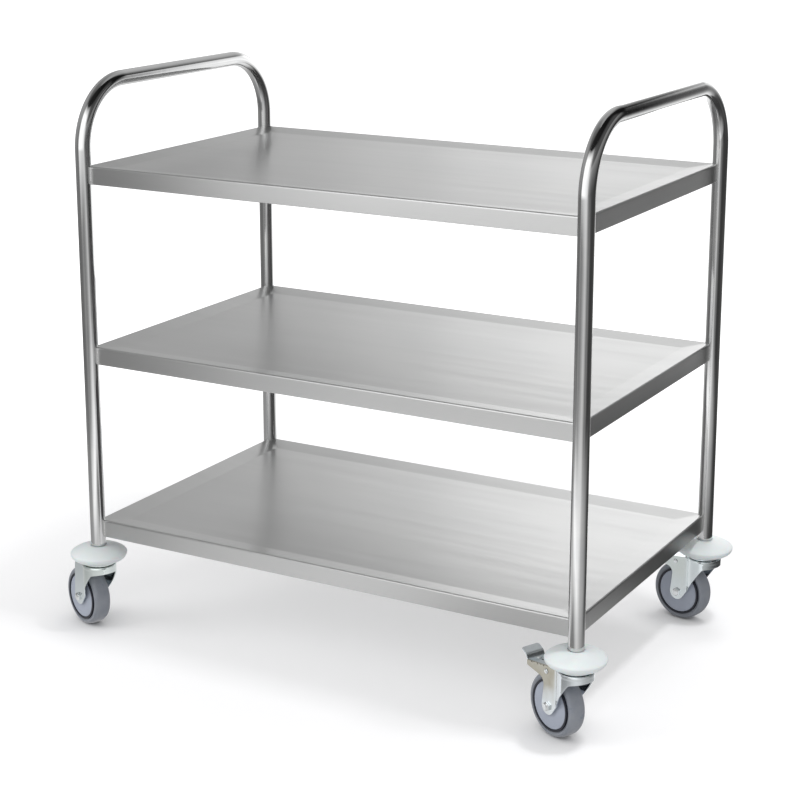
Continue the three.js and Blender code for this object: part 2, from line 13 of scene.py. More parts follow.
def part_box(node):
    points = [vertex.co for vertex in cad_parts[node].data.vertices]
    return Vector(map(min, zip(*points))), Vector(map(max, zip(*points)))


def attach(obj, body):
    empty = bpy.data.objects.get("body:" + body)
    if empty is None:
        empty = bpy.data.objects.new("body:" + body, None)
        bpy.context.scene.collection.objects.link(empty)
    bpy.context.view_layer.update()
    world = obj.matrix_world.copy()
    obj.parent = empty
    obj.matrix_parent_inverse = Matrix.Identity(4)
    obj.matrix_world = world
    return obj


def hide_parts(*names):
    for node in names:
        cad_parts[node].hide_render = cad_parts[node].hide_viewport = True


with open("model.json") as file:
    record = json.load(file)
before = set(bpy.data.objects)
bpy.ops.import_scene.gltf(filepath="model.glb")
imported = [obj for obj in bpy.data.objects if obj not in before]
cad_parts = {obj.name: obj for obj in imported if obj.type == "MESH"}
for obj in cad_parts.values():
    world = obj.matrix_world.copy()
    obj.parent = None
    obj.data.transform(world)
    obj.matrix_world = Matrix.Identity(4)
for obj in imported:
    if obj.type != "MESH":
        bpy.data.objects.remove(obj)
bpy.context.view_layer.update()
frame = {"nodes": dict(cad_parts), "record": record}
random.seed(7)

MM = 0.001

# Camera
IMAGE_WIDTH = 800  # pixels
PRINCIPAL_ROW = 320  # photo row that the camera's axis meets
SENSOR_WIDTH = 36
LENS = 86.16
CAMERA_PLACE = (1508.5, -2647.4, 1290.6)
CAMERA_YAW = 29.44  # degrees from +Y towards -X
CAMERA_PITCH = 13.976  # degrees below the horizon
CLIP_END = 100000

# Fits shared with the part
SEAT_GAP = 0.3
RUNNING_GAP = 0.5

# End frames
TUBE_RADIUS = 12.5
TUBE_WALL = 1.2
BEND_RADIUS = 105
BEND_FLATTENING = 0.035  # share of the radius that the tube loses across its bend
TUBE_EDGE = 0.4  # rounding of the tube's cut ends

# Shelves
SHEET = 1
SKIRT_HEIGHT = 29
SKIRT_INSET = 1
RIM_RADIUS = 3
BORDER_WIDTH = 38
FLOOR_DEPTH = 5
CREASE_RADIUS = 30  # soft bend between the border and the floor
HEM_HEIGHT = 8
MITRE_RADIUS = 5  # softness of the mitred corners
WELD_RADIUS = 0.8
WELD_RIPPLE = 0.16

# Casters
INSERT_HEIGHT = 30
BUMPER_HEIGHT = 25.4
BUMPER_RADIUS = 47
BUMPER_FOOT_RADIUS = 31
BUMPER_NECK_RADIUS = 13.4
BUMPER_WAIST = 12
SEAT_GROOVE = 1.6  # depth of the seat that the tube's foot stands in
BUMPER_SLOPE = 1.28  # 1 is a round dome, 2 a straight slope
WHEEL_DIAMETER = 100
TREAD_FLAT = 10
TYRE_WIDTH = 30
TYRE_SEAT_WIDTH = 26
SHOULDER_DEPTH = 6
TYRE_DEPTH = 10
CORE_RIM_DEPTH = 7
CORE_WEB = 8
HUB_RADIUS = 8.5
DISC_MARGIN = 3.5
DISC_THICKNESS = 1.5
TRAIL = 40
WHEEL_HEADROOM = 25
FORK_INNER_WIDTH = 34
FORK_SHEET = 2.5
FORK_FILLET = 4.5  # concave bend between leg and crown
BOSS_RADIUS = 13.5
CROWN_RADIUS = 28
CROWN_LIP = 2.5
NOSE_DEPTH = 19
CHEEK_DEPTH = 22
CHEEK_REACH = 13
LEG_OVERHANG = 9.5
LEG_SHOULDER = 12
PLATE_THICKNESS = 3
PLATE_RADIUS = 24
LIP_THICKNESS = 3.4
LIP_DROP = 1.6
RIVET_RADIUS = 9
FLARE_RADIUS = 14
FLARE_THICKNESS = 3
BALL_DIAMETER = 5.5
BALL_COUNT = 10
BALL_CIRCLE_RADIUS = 20
CAGE_WIDTH = 2.6
CAGE_THICKNESS = 1.4
CASTER_BOLT_RADIUS = 5
CASTER_BOLT_HEAD_WIDTH = 17
CASTER_BOLT_HEAD_HEIGHT = 6.4
AXLE_RADIUS = 4
AXLE_HEAD_WIDTH = 13
AXLE_HEAD_HEIGHT = 5.3
AXLE_HEAD_DOME = 2
AXLE_NUT_HEIGHT = 6.5
AXLE_TAIL = 2.5
THREAD_PITCH = 1.25
THREAD_DEPTH = 0.6

# Brakes
BRAKE_TRAVEL = 12  # degrees
PIN_DIAMETER = 4.5
PIN_HEAD_DIAMETER = 8
PIN_HEAD_HEIGHT = 1.8
PIN_BEHIND_AXLE = 4
PIN_ABOVE_TYRE = 4.5
TAIL_REACH = 50
TAIL_DROP = 18
TAIL_HEIGHT = 8.5
TAIL_ROOT_REACH = 16
TAIL_ROOT_DROP = 32.5
TAIL_LEG_DROP = 40
PEDAL_WIDTH = 33
PEDAL_SHEET = 2
PEDAL_AHEAD = 10
PEDAL_FRONT_RISE = 5.6
PEDAL_BEHIND = 48
FOLD_REACH = 5
FOLD_RISE = 8
TREAD_REACH = 11
TREAD_RISE = 5.5
EAR_REACH = 8
EAR_DROP = 4
LEAF_SHEET = 1.2
LEAF_WIDTH = 20
LEAF_ROOT_BEHIND = 45
LEAF_BEND_BEHIND = 38
LEAF_RIVET_DIAMETER = 5
LEAF_RIVET_HEAD_DIAMETER = 8
LEAF_RIVET_HEAD_HEIGHT = 1.5
SHOE_REAR_ANGLE = 44
SHOE_FRONT_ANGLE = 24

# Small roundings and details
SMALL_EDGE = 0.5
STRIP_EDGE = 0.4
EAR_EDGE = 0.3
FORK_EDGE = 0.6
HEX_FACE_SHARE = 0.94  # flat face of a bolt head as a share of its width
HEX_BEVEL = 30  # degrees
LIP_ROLL_SHARE = 0.42  # rounding of the rolled lip as a share of its thickness
CHEEK_ROUNDING = 7
TAIL_LEG_ROUNDING = 12
TAIL_ROOT_ROUNDING = 8
TAIL_FOOT_ROUNDING = 3
TAIL_TIP_ROUNDING = 2
TAIL_CREST_ROUNDING = 20
CROWN_SWELL = 0.3
CROWN_SWELL_ROUNDING = 4
CROWN_SHOULDER = 2
CROWN_HEM_ROUNDING = 2
CROWN_CREST_ROUNDING = 1.2
CROWN_DISH_ROUNDING = 0.8
DISC_STEP = 2
DISC_SLOPE = 1
DISC_DISH = 0.25
DISC_RIM_ROUNDING = 0.7
DISC_STEP_ROUNDING = 1
DISC_BORE_ROUNDING = 0.4
CORE_RING = 3  # height of the dark ring between disc and tyre
CORE_ROUNDINGS = (1, 0.6, 0.2, 0.4, 0.5)  # from the web outwards to the ring
HUB_ROUNDINGS = (0.3, 0.8, 1)  # from the bore to the web
TREAD_CORNER = 4
STRIP_CORNER = 1.5
EAR_CORNER = 3
PEDAL_BEND = 1.3
LEAF_BEND = 0.6
PEDAL_SLOT_BEHIND = 31
PEDAL_SLOT_LENGTH = 6.5
PEDAL_SLOT_WIDTH = 3.5

# Finishes. A noise is its scale per metre, its detail and, where a third number follows, its
# roughness. Depths of bumps are in millimetres, and a pair spans the usual low and high values.
TUBE_COLOURS = ((0.66, 0.66, 0.655), (0.60, 0.605, 0.61))
TUBE_ROUGHNESS = (0.05, 0.11)
TUBE_PATCHES = (22, 3)
TUBE_LINES = (900, 2)
TUBE_LINE_STRETCH = (1, 1, 0.02)
TUBE_LINE_DEPTH = 0.003
TUBE_LINE_STRENGTH = 0.6
TUBE_WAVES = (60, 2)
TUBE_WAVE_STRETCH = (1, 1, 0.22)
TUBE_WAVE_DEPTH = 0.05
SHEET_COLOURS = ((0.62, 0.625, 0.625), (0.665, 0.665, 0.66))
SHEET_ROUGHNESS = (0.30, 0.34)
SHEET_GRAIN = (1, 3, 0.6)
SHEET_GRAIN_STRETCH = (12, 1600, 1)  # fine strokes along the cart
SHEET_GRAIN_DEPTH = 0.004
SHEET_GRAIN_STRENGTH = 0.4
SHEET_BROAD = (1, 3)
SHEET_BROAD_STRETCH = (2, 40, 1)
SHEET_CLOUDS = (5, 2)
SHEET_WAVES = (9, 2)
SHEET_WAVE_DEPTH = 0.3
SHEET_LEVEL_SPAN = (0.9, 0.97)  # upward share of the normal at which the waves set in
SHEET_ANISOTROPY = 0.8
SHEET_ANISOTROPY_TURN = 0.25
ZINC_BLOOM = (45, 3)
ZINC_BLOOM_SPAN = (0, 0.2)
ZINC_PALE = (0.87, 0.90, 0.89)
ZINC_TINTS = {  # low and high on the legs
    "zinc_steel": ((0.78, 0.84, 0.86), (0.74, 0.80, 0.78)),
    # darker and olive towards the legs' top
    "darker_top_zinc": ((0.80, 0.85, 0.88), (0.42, 0.395, 0.32)),
    "pedal_zinc": ((0.68, 0.73, 0.76), (0.70, 0.75, 0.78)),
}
ZINC_TINT_HEIGHTS = (55, 85)
ZINC_TINT_REACH = (28, 33)  # from the post's axis: the round crown keeps the low tint
ZINC_CLOUDS = (22, 2)
ZINC_CLOUD_SHARE = 0.3
ZINC_ROUGHNESS = (0.11, 0.18)
ZINC_WAVES = (70, 1)
ZINC_WAVE_DEPTH = 0.06
WELD_COLOURS = ((0.62, 0.62, 0.62), (0.82, 0.82, 0.81))
WELD_ROUGHNESS = (0.22, 0.4)
WELD_RIPPLES = (400, 3)
WELD_RIPPLE_STRETCH = (1, 1, 3)
WELD_RIPPLE_DEPTH = 0.1
MILKY_DEPTH = 4  # how far light spreads under a milky skin
GRAIN_STRENGTH = 0.5
PLAIN_FINISHES = {  # metal share, milky share, colours, roughness, clouds, grain and grain's depth
    "bright_steel": (
        1, 0, ((0.80, 0.83, 0.84), (0.90, 0.92, 0.93)), (0.16, 0.26), (120, 4), (900, 2), 0.01,
    ),
    "bumper_plastic": (
        0, 0.15, ((0.77, 0.82, 0.825), (0.80, 0.845, 0.85)), (0.38, 0.48), (30, 3), (1500, 2), 0.012,
    ),
    "tyre_rubber": (
        0, 0, ((0.235, 0.255, 0.295), (0.285, 0.30, 0.33)), (0.26, 0.36), (45, 4), (1200, 3), 0.015,
    ),
    "core_plastic": (
        0, 0, ((0.010, 0.012, 0.020), (0.018, 0.020, 0.030)), (0.4, 0.55), (80, 3), (1500, 2), 0.015,
    ),
    "disc_plastic": (
        0, 0, ((0.38, 0.415, 0.49), (0.43, 0.465, 0.545)), (0.36, 0.46), (35, 3), (1500, 2), 0.015,
    ),
}
NOISE_ROUGHNESS = 0.55
NOISE_SPAN = (0.3, 0.7)  # where most of a noise's values lie

# Studio
FLOOR_REACH = 30000
FLOOR_COLOUR = (0.66, 0.66, 0.67)
SHADED_NEAR_GLOW = 0.39  # the floor's own light round the cart, kept low there as painted shade
FAR_GLOW = 1.0
GLOW_START = 750  # distance from the cart's middle at which the painted shade fades and the floor starts to whiten
GLOW_END = 1700
SHADE_REACH = 90  # painted contact shadow: the floor's own light fades where the cart stands this close above it
SHADE_SPAN = (0.15, 0.95)
SHADE_SAMPLES = 12
FLOOR_ROUGHNESS = 0.9
WHITE = (1, 1, 1, 1)
BLACK = (0, 0, 0, 1)
WORLD_STRENGTH = 0.5
LAMPS = {  # place, size and power
    "key": ((300, 1500, 3300), 1100, 24),
    "side": ((1300, -100, 3300), 300, 34),
    "fill": ((1500, -2600, 1500), 2200, 24),
    "left": ((-2300, -2000, 1700), 1800, 34),
}
LAMP_TARGET = (0, 0, 300)

# What the metal mirrors: brightness by azimuth, in degrees from the front, towards the right end
INNER_FLOOR = (
    (-180, 0.5), (-135, 0.5), (-90, 0.8), (-60, 0.8), (-30, 0.75), (-9, 0.8), (2, 0.66), (13, 0.3),
    (25, 0.3), (32, 0.45), (37, 0.64), (64, 0.5), (110, 0.5), (130, 0.25), (150, 0.06), (165, 0.2),
    (180, 0.5),
)
NEAR_FLOOR = (
    (-180, 0.5), (-135, 0.5), (-90, 0.4), (-60, 0.45), (-40, 0.55), (-30, 0.68), (-9, 0.8), (2, 0.66),
    (13, 0.3), (25, 0.3), (32, 0.45), (37, 0.64), (44, 0.75), (52, 0.69), (58, 0.55), (64, 0.45),
    (75, 0.36), (90, 0.14), (102, 0.06), (160, 0.06), (170, 0.2), (180, 0.5),
)
FAR_FLOOR = (
    (-180, 1.2), (-150, 0.9), (-120, 0.5), (-90, 0.4), (-70, 0.4), (-48, 0.45), (-40, 0.6), (-32, 1.2),
    (-20, 1.5), (0, 1.6), (30, 1.4), (42, 1.1), (48, 0.85), (56, 0.65), (64, 0.6), (72, 0.55),
    (82, 0.45), (93, 0.28), (105, 0.1), (120, 0.06), (150, 0.08), (162, 0.6), (170, 1.0), (180, 1.2),
)
WALL_FOOT = (
    (-180, 1.2), (-150, 0.9), (-120, 0.5), (-90, 0.35), (-48, 0.25), (-32, 0.35), (-15, 0.4), (0, 0.6),
    (10, 0.85), (20, 1.0), (40, 1.05), (48, 0.85), (56, 0.65), (72, 0.5), (82, 0.4), (93, 0.25),
    (105, 0.1), (120, 0.06), (148, 0.08), (158, 0.5), (165, 1.0), (180, 1.2),
)
LOW_WALL = (
    (-180, 1.75), (-165, 1.6), (-150, 1.05), (-135, 0.7), (-110, 0.3), (-80, 0.2), (-55, 0.2),
    (-42, 0.24), (-35, 0.33), (-26, 0.38), (-15, 0.30), (0, 0.35), (10, 0.47), (20, 0.6), (30, 0.75),
    (38, 0.75), (47, 0.5), (56, 0.24), (64, 0.28), (74, 0.11), (83, 0.06), (95, 0.06), (108, 0.07),
    (122, 0.10), (136, 0.09), (140, 0.14), (146, 0.5), (151, 0.85), (158, 1.1), (165, 1.3), (180, 1.75),
)
BACK_LEFT_WALL = (  # the same in the two tables that follow
    (-180, 1.75), (-168, 1.7), (-158, 1.35), (-151, 1.0), (-142, 0.75), (-130, 0.6), (-110, 0.35),
)
BAR_WALL = BACK_LEFT_WALL + (
    (-80, 0.35), (-55, 0.3), (-43, 0.2), (-38, 0.4), (-33, 1.4), (-22, 1.7), (0, 1.6), (20, 1.4),
    (35, 1.1), (46, 0.35), (58, 0.18), (72, 0.1), (110, 0.05), (139, 0.02), (143, 0.16), (147, 0.35),
    (151, 0.5), (156, 1.2), (161, 1.6), (168, 1.6), (180, 1.75),
)
MIDDLE_WALL = BACK_LEFT_WALL + (
    (-80, 0.45), (-55, 0.4), (-43, 0.25), (-38, 0.45), (-33, 1.4), (-22, 1.8), (0, 1.7), (20, 1.5),
    (35, 1.1), (46, 0.6), (58, 0.38), (72, 0.34), (110, 0.34), (126, 0.32), (131, 0.22), (137, 0.01),
    (146, 0.06), (150, 0.35), (155, 0.9), (161, 1.1), (168, 1.1), (176, 1.5), (180, 1.75),
)
HIGH_WALL = (
    (-180, 0.55), (-160, 0.66), (-142, 0.66), (-125, 0.4), (-80, 0.45), (-45, 0.4), (-37, 0.8),
    (-31, 1.6), (-20, 1.9), (0, 1.9), (20, 1.6), (35, 1.0), (46, 0.3), (58, 0.15), (72, 0.1),
    (110, 0.1), (127, 0.08), (136, 0.01), (154, 0.01), (160, 0.1), (170, 0.3), (180, 0.5),
)
CEILING = (
    (-180, 0.5), (-150, 0.45), (-120, 0.3), (-90, 0.2), (-60, 0.15), (-30, 0.04), (0, 0.02), (40, 0.02),
    (120, 0.01), (155, 0.02), (165, 0.3), (180, 0.5),
)
WALL_REACH = 1600
SCREENS = (  # reach along X, reach along Y, height and brightness of each ring round the cart
    (520, 400, 2, INNER_FLOOR),
    (850, 700, 2, NEAR_FLOOR),
    (1080, 1000, 2, FAR_FLOOR),
    (WALL_REACH, WALL_REACH, 2, WALL_FOOT),
    (WALL_REACH, WALL_REACH, 150, LOW_WALL),
    (WALL_REACH, WALL_REACH, 450, LOW_WALL),
    (WALL_REACH, WALL_REACH, 740, BAR_WALL),
    (WALL_REACH, WALL_REACH, 1380, MIDDLE_WALL),
    (WALL_REACH, WALL_REACH, 1560, HIGH_WALL),
    (WALL_REACH, WALL_REACH, 2000, HIGH_WALL),
    (WALL_REACH, WALL_REACH, 3000, CEILING),
    (20, 20, 3700, CEILING),
)

# Fineness of round surfaces
TUBE_SIDES = 48
BEND_STEPS = 28
POST_STEPS = 9
ROUND_SIDES = 96
BOLT_SIDES = 48
CORNER_STEPS = 4
FINE_STEPS = 8
RIM_STEPS = 10
ARC_STEPS = 14
BEAD_SIDES = 10
WELD_STEPS = 70
SCREEN_STEPS = 360
PLAN_STEP = 2.2  # spacing of points along a curved sheet
MARGIN_SHARE = 0.4  # share of that spacing kept clear along a sheet's edge
CORNER_LIMIT = 0.48  # share of a side that one rounding may take
SHARPEST_CORNER = 0.5  # keeps an inset corner from running far out
MERGE_DISTANCE = 0.002
PLAN_TOLERANCE = 0.00001
SOFT_CREASE = 34  # degrees; edges that turn more than this look sharp
BOLT_CREASE = 25

# Sizes that follow
AXLE_HEIGHT = WHEEL_DIAMETER / 2
CORE_RADIUS = WHEEL_DIAMETER / 2 - TYRE_DEPTH
DISC_RADIUS = CORE_RADIUS - DISC_MARGIN
MOUNT_HEIGHT = WHEEL_DIAMETER + WHEEL_HEADROOM
BUMPER_BOTTOM = MOUNT_HEIGHT + SEAT_GAP
TUBE_BOTTOM = BUMPER_BOTTOM + BUMPER_HEIGHT + SEAT_GAP
PLATE_BOTTOM = MOUNT_HEIGHT - PLATE_THICKNESS
BALL_HEIGHT = PLATE_BOTTOM - SEAT_GAP - BALL_DIAMETER / 2
CROWN_FLOOR = BALL_HEIGHT - BALL_DIAMETER / 2 - SEAT_GAP
CROWN_CEILING = CROWN_FLOOR - FORK_SHEET
FLARE_TOP = CROWN_CEILING - RUNNING_GAP
FLARE_BOTTOM = FLARE_TOP - FLARE_THICKNESS
FORK_HALF = FORK_INNER_WIDTH / 2 + FORK_SHEET
AXLE_SEAT = FORK_HALF + SEAT_GAP
AXLE_BORE = AXLE_RADIUS + SEAT_GAP
CASTER_BOLT_BORE = CASTER_BOLT_RADIUS + SEAT_GAP
PIN_X = -TRAIL - PIN_BEHIND_AXLE
PIN_HEIGHT = WHEEL_DIAMETER + PIN_ABOVE_TYRE
PEDAL_SLOPE = math.atan2(PEDAL_FRONT_RISE, PEDAL_AHEAD + PEDAL_BEHIND)

ENDS = ("left", "right")
TIERS = ("bottom", "middle", "top")
CORNERS = ("front_left", "front_right", "rear_left", "rear_right")
DARKER_TOP_CORNERS = ("front_right", "rear_left")  # where the fork's legs turn darker and olive towards their top


# Outlines and profiles, all in two dimensions

def arc(centre, radii, start, end, steps=ARC_STEPS):
    """Points of an elliptical arc, angles in degrees."""
    points = []
    for step in range(steps + 1):
        angle = math.radians(start + (end - start) * step / steps)
        across, up = radii[0] * math.cos(angle), radii[1] * math.sin(angle)
        points.append((centre[0] + across, centre[1] + up))
    return points


def rounded(corners, radius=0.0, steps=CORNER_STEPS, closed=True):
    """The outline through these corners with each one rounded. A corner's own radius may follow
    its two coordinates."""
    points = []
    count = len(corners)
    for index, corner in enumerate(corners):
        here = Vector(corner[:2])
        own = corner[2] if len(corner) > 2 else radius
        at_end = not closed and index in (0, count - 1)
        if own <= 0 or at_end:
            points.append(tuple(here))
            continue
        before = Vector(corners[index - 1][:2]) - here
        after = Vector(corners[(index + 1) % count][:2]) - here
        half = before.angle(after) / 2
        reach = own / math.tan(half)
        limit = CORNER_LIMIT * min(before.length, after.length)
        if reach > limit:
            reach = limit
            own = reach * math.tan(half)
        first = here + before.normalized() * reach
        last = here + after.normalized() * reach
        towards = (before.normalized() + after.normalized()).normalized()
        middle = here + towards * (own / math.sin(half))
        sweep = (first - middle).angle_signed(last - middle)
        for step in range(steps + 1):
            turned_by = -sweep * step / steps
            points.append(tuple(middle + (Matrix.Rotation(turned_by, 2) @ (first - middle))))
    return points


def resampled(points, spacing, closed=True):
    """The same outline with no stretch longer than the spacing."""
    result = []
    following = points[1:] + (points[:1] if closed else [])
    for start, end in zip(points, following):
        pieces = max(1, math.ceil(math.dist(start, end) / spacing))
        for piece in range(pieces):
            share = piece / pieces
            result.append(tuple(a + (b - a) * share for a, b in zip(start, end)))
    if not closed:
        result.append(points[-1])
    return result


def signed_area(outline):
    """The outline's area, positive where it runs anticlockwise."""
    return sum(a[0] * b[1] - b[0] * a[1] for a, b in zip(outline, outline[1:] + outline[:1])) / 2


def inside(point, outlines):
    """Whether a point lies inside an odd number of the outlines."""
    crossings = 0
    for outline in outlines:
        for a, b in zip(outline, outline[1:] + outline[:1]):
            if (a[1] > point[1]) != (b[1] > point[1]):
                if point[0] < a[0] + (point[1] - a[1]) / (b[1] - a[1]) * (b[0] - a[0]):
                    crossings += 1
    return crossings % 2 == 1


def inset(outline, distance):
    """The outline moved inwards, or outwards round a hole, which runs clockwise."""
    moved = []
    count = len(outline)
    for index in range(count):
        here = Vector(outline[index])
        before = (here - Vector(outline[index - 1])).normalized()
        after = (Vector(outline[(index + 1) % count]) - here).normalized()
        along = (before + after).normalized()
        side = Vector((-along.y, along.x))
        stretch = 1 / max(SHARPEST_CORNER, along.dot(after))
        moved.append(tuple(here + side * distance * stretch))
    return moved


def grid_points(outline, margins, spacing):
    """Evenly spaced points over the outline's box that lie within the margins."""
    low_u, high_u = min(u for u, v in outline), max(u for u, v in outline)
    low_v, high_v = min(v for u, v in outline), max(v for u, v in outline)
    points = []
    for i in range(int((high_u - low_u) / spacing) + 1):
        for j in range(int((high_v - low_v) / spacing) + 1):
            point = (low_u + i * spacing, low_v + j * spacing)
            if inside(point, margins):
                points.append(point)
    return points


# Meshes

def placed(name, data):
    """A new object in the scene."""
    made = bpy.data.objects.new(name, data)
    bpy.context.scene.collection.objects.link(made)
    return made


def ring_faces(rings, count, closed=False, capped=False, start=0):
    """Faces between rings of this many vertices each, numbered one ring after another. Closed
    joins the last ring to the first, and capped fills the first and the last."""
    faces = []
    for ring in range(rings if closed else rings - 1):
        near, far = start + ring * count, start + (ring + 1) % rings * count
        for step in range(count):
            after = (step + 1) % count
            faces.append((near + step, far + step, far + after, near + after))
    if capped:
        last = start + (rings - 1) * count
        faces.append(list(range(start, start + count)))
        faces.append(list(range(last, last + count))[::-1])
    return faces


def mesh_of(name, vertices, faces, uvs=None):
    """A mesh from vertices in millimetres. uvs lists one pair of millimetres for each vertex."""
    mesh = bpy.data.meshes.new(name)
    mesh.from_pydata([Vector(vertex) * MM for vertex in vertices], [], faces)
    if uvs:
        layer = mesh.uv_layers.new(name="sheet")
        for loop in mesh.loops:
            layer.data[loop.index].uv = Vector(uvs[loop.vertex_index]) * MM
    shape = bmesh.new()
    shape.from_mesh(mesh)
    bmesh.ops.remove_doubles(shape, verts=shape.verts, dist=MERGE_DISTANCE * MM)
    bmesh.ops.recalc_face_normals(shape, faces=shape.faces)
    shape.to_mesh(mesh)
    shape.free()
    mesh.validate()
    return mesh


def swept(name, section, sides, matrix=None):
    """A solid about Z; section(angle) lists the (radius, height) of its closed outline there."""
    vertices = []
    for side in range(sides):
        angle = 2 * math.pi * side / sides
        for radius, height in section(angle):
            vertices.append((radius * math.cos(angle), radius * math.sin(angle), height))
    mesh = mesh_of(name, vertices, ring_faces(sides, len(section(0)), closed=True))
    if matrix:
        mesh.transform(scaled(matrix))
    return mesh


def turned(name, profile, sides=ROUND_SIDES, matrix=None):
    """A solid of revolution about Z; the closed profile lists (radius, height)."""
    return swept(name, lambda angle: profile, sides, matrix)


def scaled(matrix):
    """The same matrix with its shift turned from millimetres to metres."""
    result = matrix.copy()
    result.translation = matrix.translation * MM
    return result


def along_axle(x, height):
    """Lays a piece turned about Z along an axle, so that its top points to -Y."""
    return Matrix.Translation((x, 0, height)) @ Matrix.Rotation(math.pi / 2, 4, "X")


ON_AXLE = along_axle(-TRAIL, AXLE_HEIGHT)


def sheet(name, outlines, thickness, place, edge, spacing=0.0):
    """A bent sheet cut from a flat blank. place(u, v, depth) says where a point of the blank lies
    in space, and depth counts from the outer face. The first outline is the blank's own, the
    others are holes. Spacing asks for points inside the blank, for sheets that curve."""
    quarter = [math.radians(90 * step / CORNER_STEPS) for step in range(CORNER_STEPS + 1)]
    rings = [(edge * (1 - math.sin(a)), edge * (1 - math.cos(a))) for a in quarter]
    rings += [(back, thickness - depth) for back, depth in reversed(rings)]
    vertices, faces = [], []
    flat, outer, inner = [], [], []
    borders, bounds, margins = [], [], []
    for index, outline in enumerate(outlines):
        wanted = 1 if index == 0 else -1
        loop = outline if signed_area(outline) * wanted > 0 else outline[::-1]
        count = len(loop)
        start, last = len(vertices), len(vertices) + (len(rings) - 1) * count
        for back, depth in rings:
            vertices += [place(u, v, depth) for u, v in inset(loop, back)]
        faces += ring_faces(len(rings), count, start=start)
        borders += [(len(flat) + step, len(flat) + (step + 1) % count) for step in range(count)]
        bounds.append(inset(loop, edge))
        margins.append(inset(loop, edge + spacing * MARGIN_SHARE))
        flat += bounds[-1]
        outer += range(start, start + count)
        inner += range(last, last + count)
    for u, v in grid_points(bounds[0], margins, spacing) if spacing else []:
        flat.append((u, v))
        outer.append(len(vertices))
        inner.append(len(vertices) + 1)
        vertices += [place(u, v, 0), place(u, v, thickness)]
    points = [Vector(point) for point in flat]
    made, _, triangles, sources, _, _ = geometry.delaunay_2d_cdt(points, borders, [], 0, PLAN_TOLERANCE)
    for triangle in triangles:
        middle = sum((made[corner] for corner in triangle), Vector((0, 0))) / len(triangle)
        if inside(middle, bounds):
            corners = [sources[corner][0] for corner in triangle]
            faces.append([outer[corner] for corner in corners])
            faces.append([inner[corner] for corner in reversed(corners)])
    return mesh_of(name, vertices, faces)


def joined(name, meshes):
    """One mesh holding all of these."""
    shape = bmesh.new()
    for mesh in meshes:
        shape.from_mesh(mesh)
        bpy.data.meshes.remove(mesh)
    result = bpy.data.meshes.new(name)
    shape.to_mesh(result)
    shape.free()
    return result


def cut(mesh, cutters):
    """The mesh with the cutters taken away by an exact boolean."""
    target = placed("target", mesh)
    tool = placed("tool", joined("tool", cutters))
    modifier = target.modifiers.new("cut", "BOOLEAN")
    modifier.operation = "DIFFERENCE"
    modifier.solver = "EXACT"
    modifier.object = tool
    bpy.context.view_layer.update()
    evaluated = target.evaluated_get(bpy.context.evaluated_depsgraph_get())
    result = bpy.data.meshes.new_from_object(evaluated)
    result.name = mesh.name
    for thing in (target, tool):
        bpy.data.objects.remove(thing)
    return result


def add_piece(name, mesh, material, slot, body, nodes, matrix=None, crease=SOFT_CREASE):
    """Puts a mesh in the scene as a piece that stands for CAD nodes and rides on a body."""
    mesh = mesh.copy()
    if matrix:
        mesh.transform(scaled(matrix))
    mesh.name = name
    mesh.polygons.foreach_set("use_smooth", [True] * len(mesh.polygons))
    mesh.set_sharp_from_angle(angle=math.radians(crease))
    mesh.materials.clear()
    mesh.materials.append(material)
    piece = placed(name, mesh)
    modifier = piece.modifiers.new("normals", "WEIGHTED_NORMAL")
    modifier.keep_sharp = True
    if nodes:
        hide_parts(*nodes)
    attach(piece, body)
    return piece


def box_of(node):
    """A CAD node's lowest and highest corners, in millimetres."""
    low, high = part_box(node)
    return Vector(low) / MM, Vector(high) / MM


def middle_of(node):
    low, high = box_of(node)
    return (low + high) / 2


# Materials

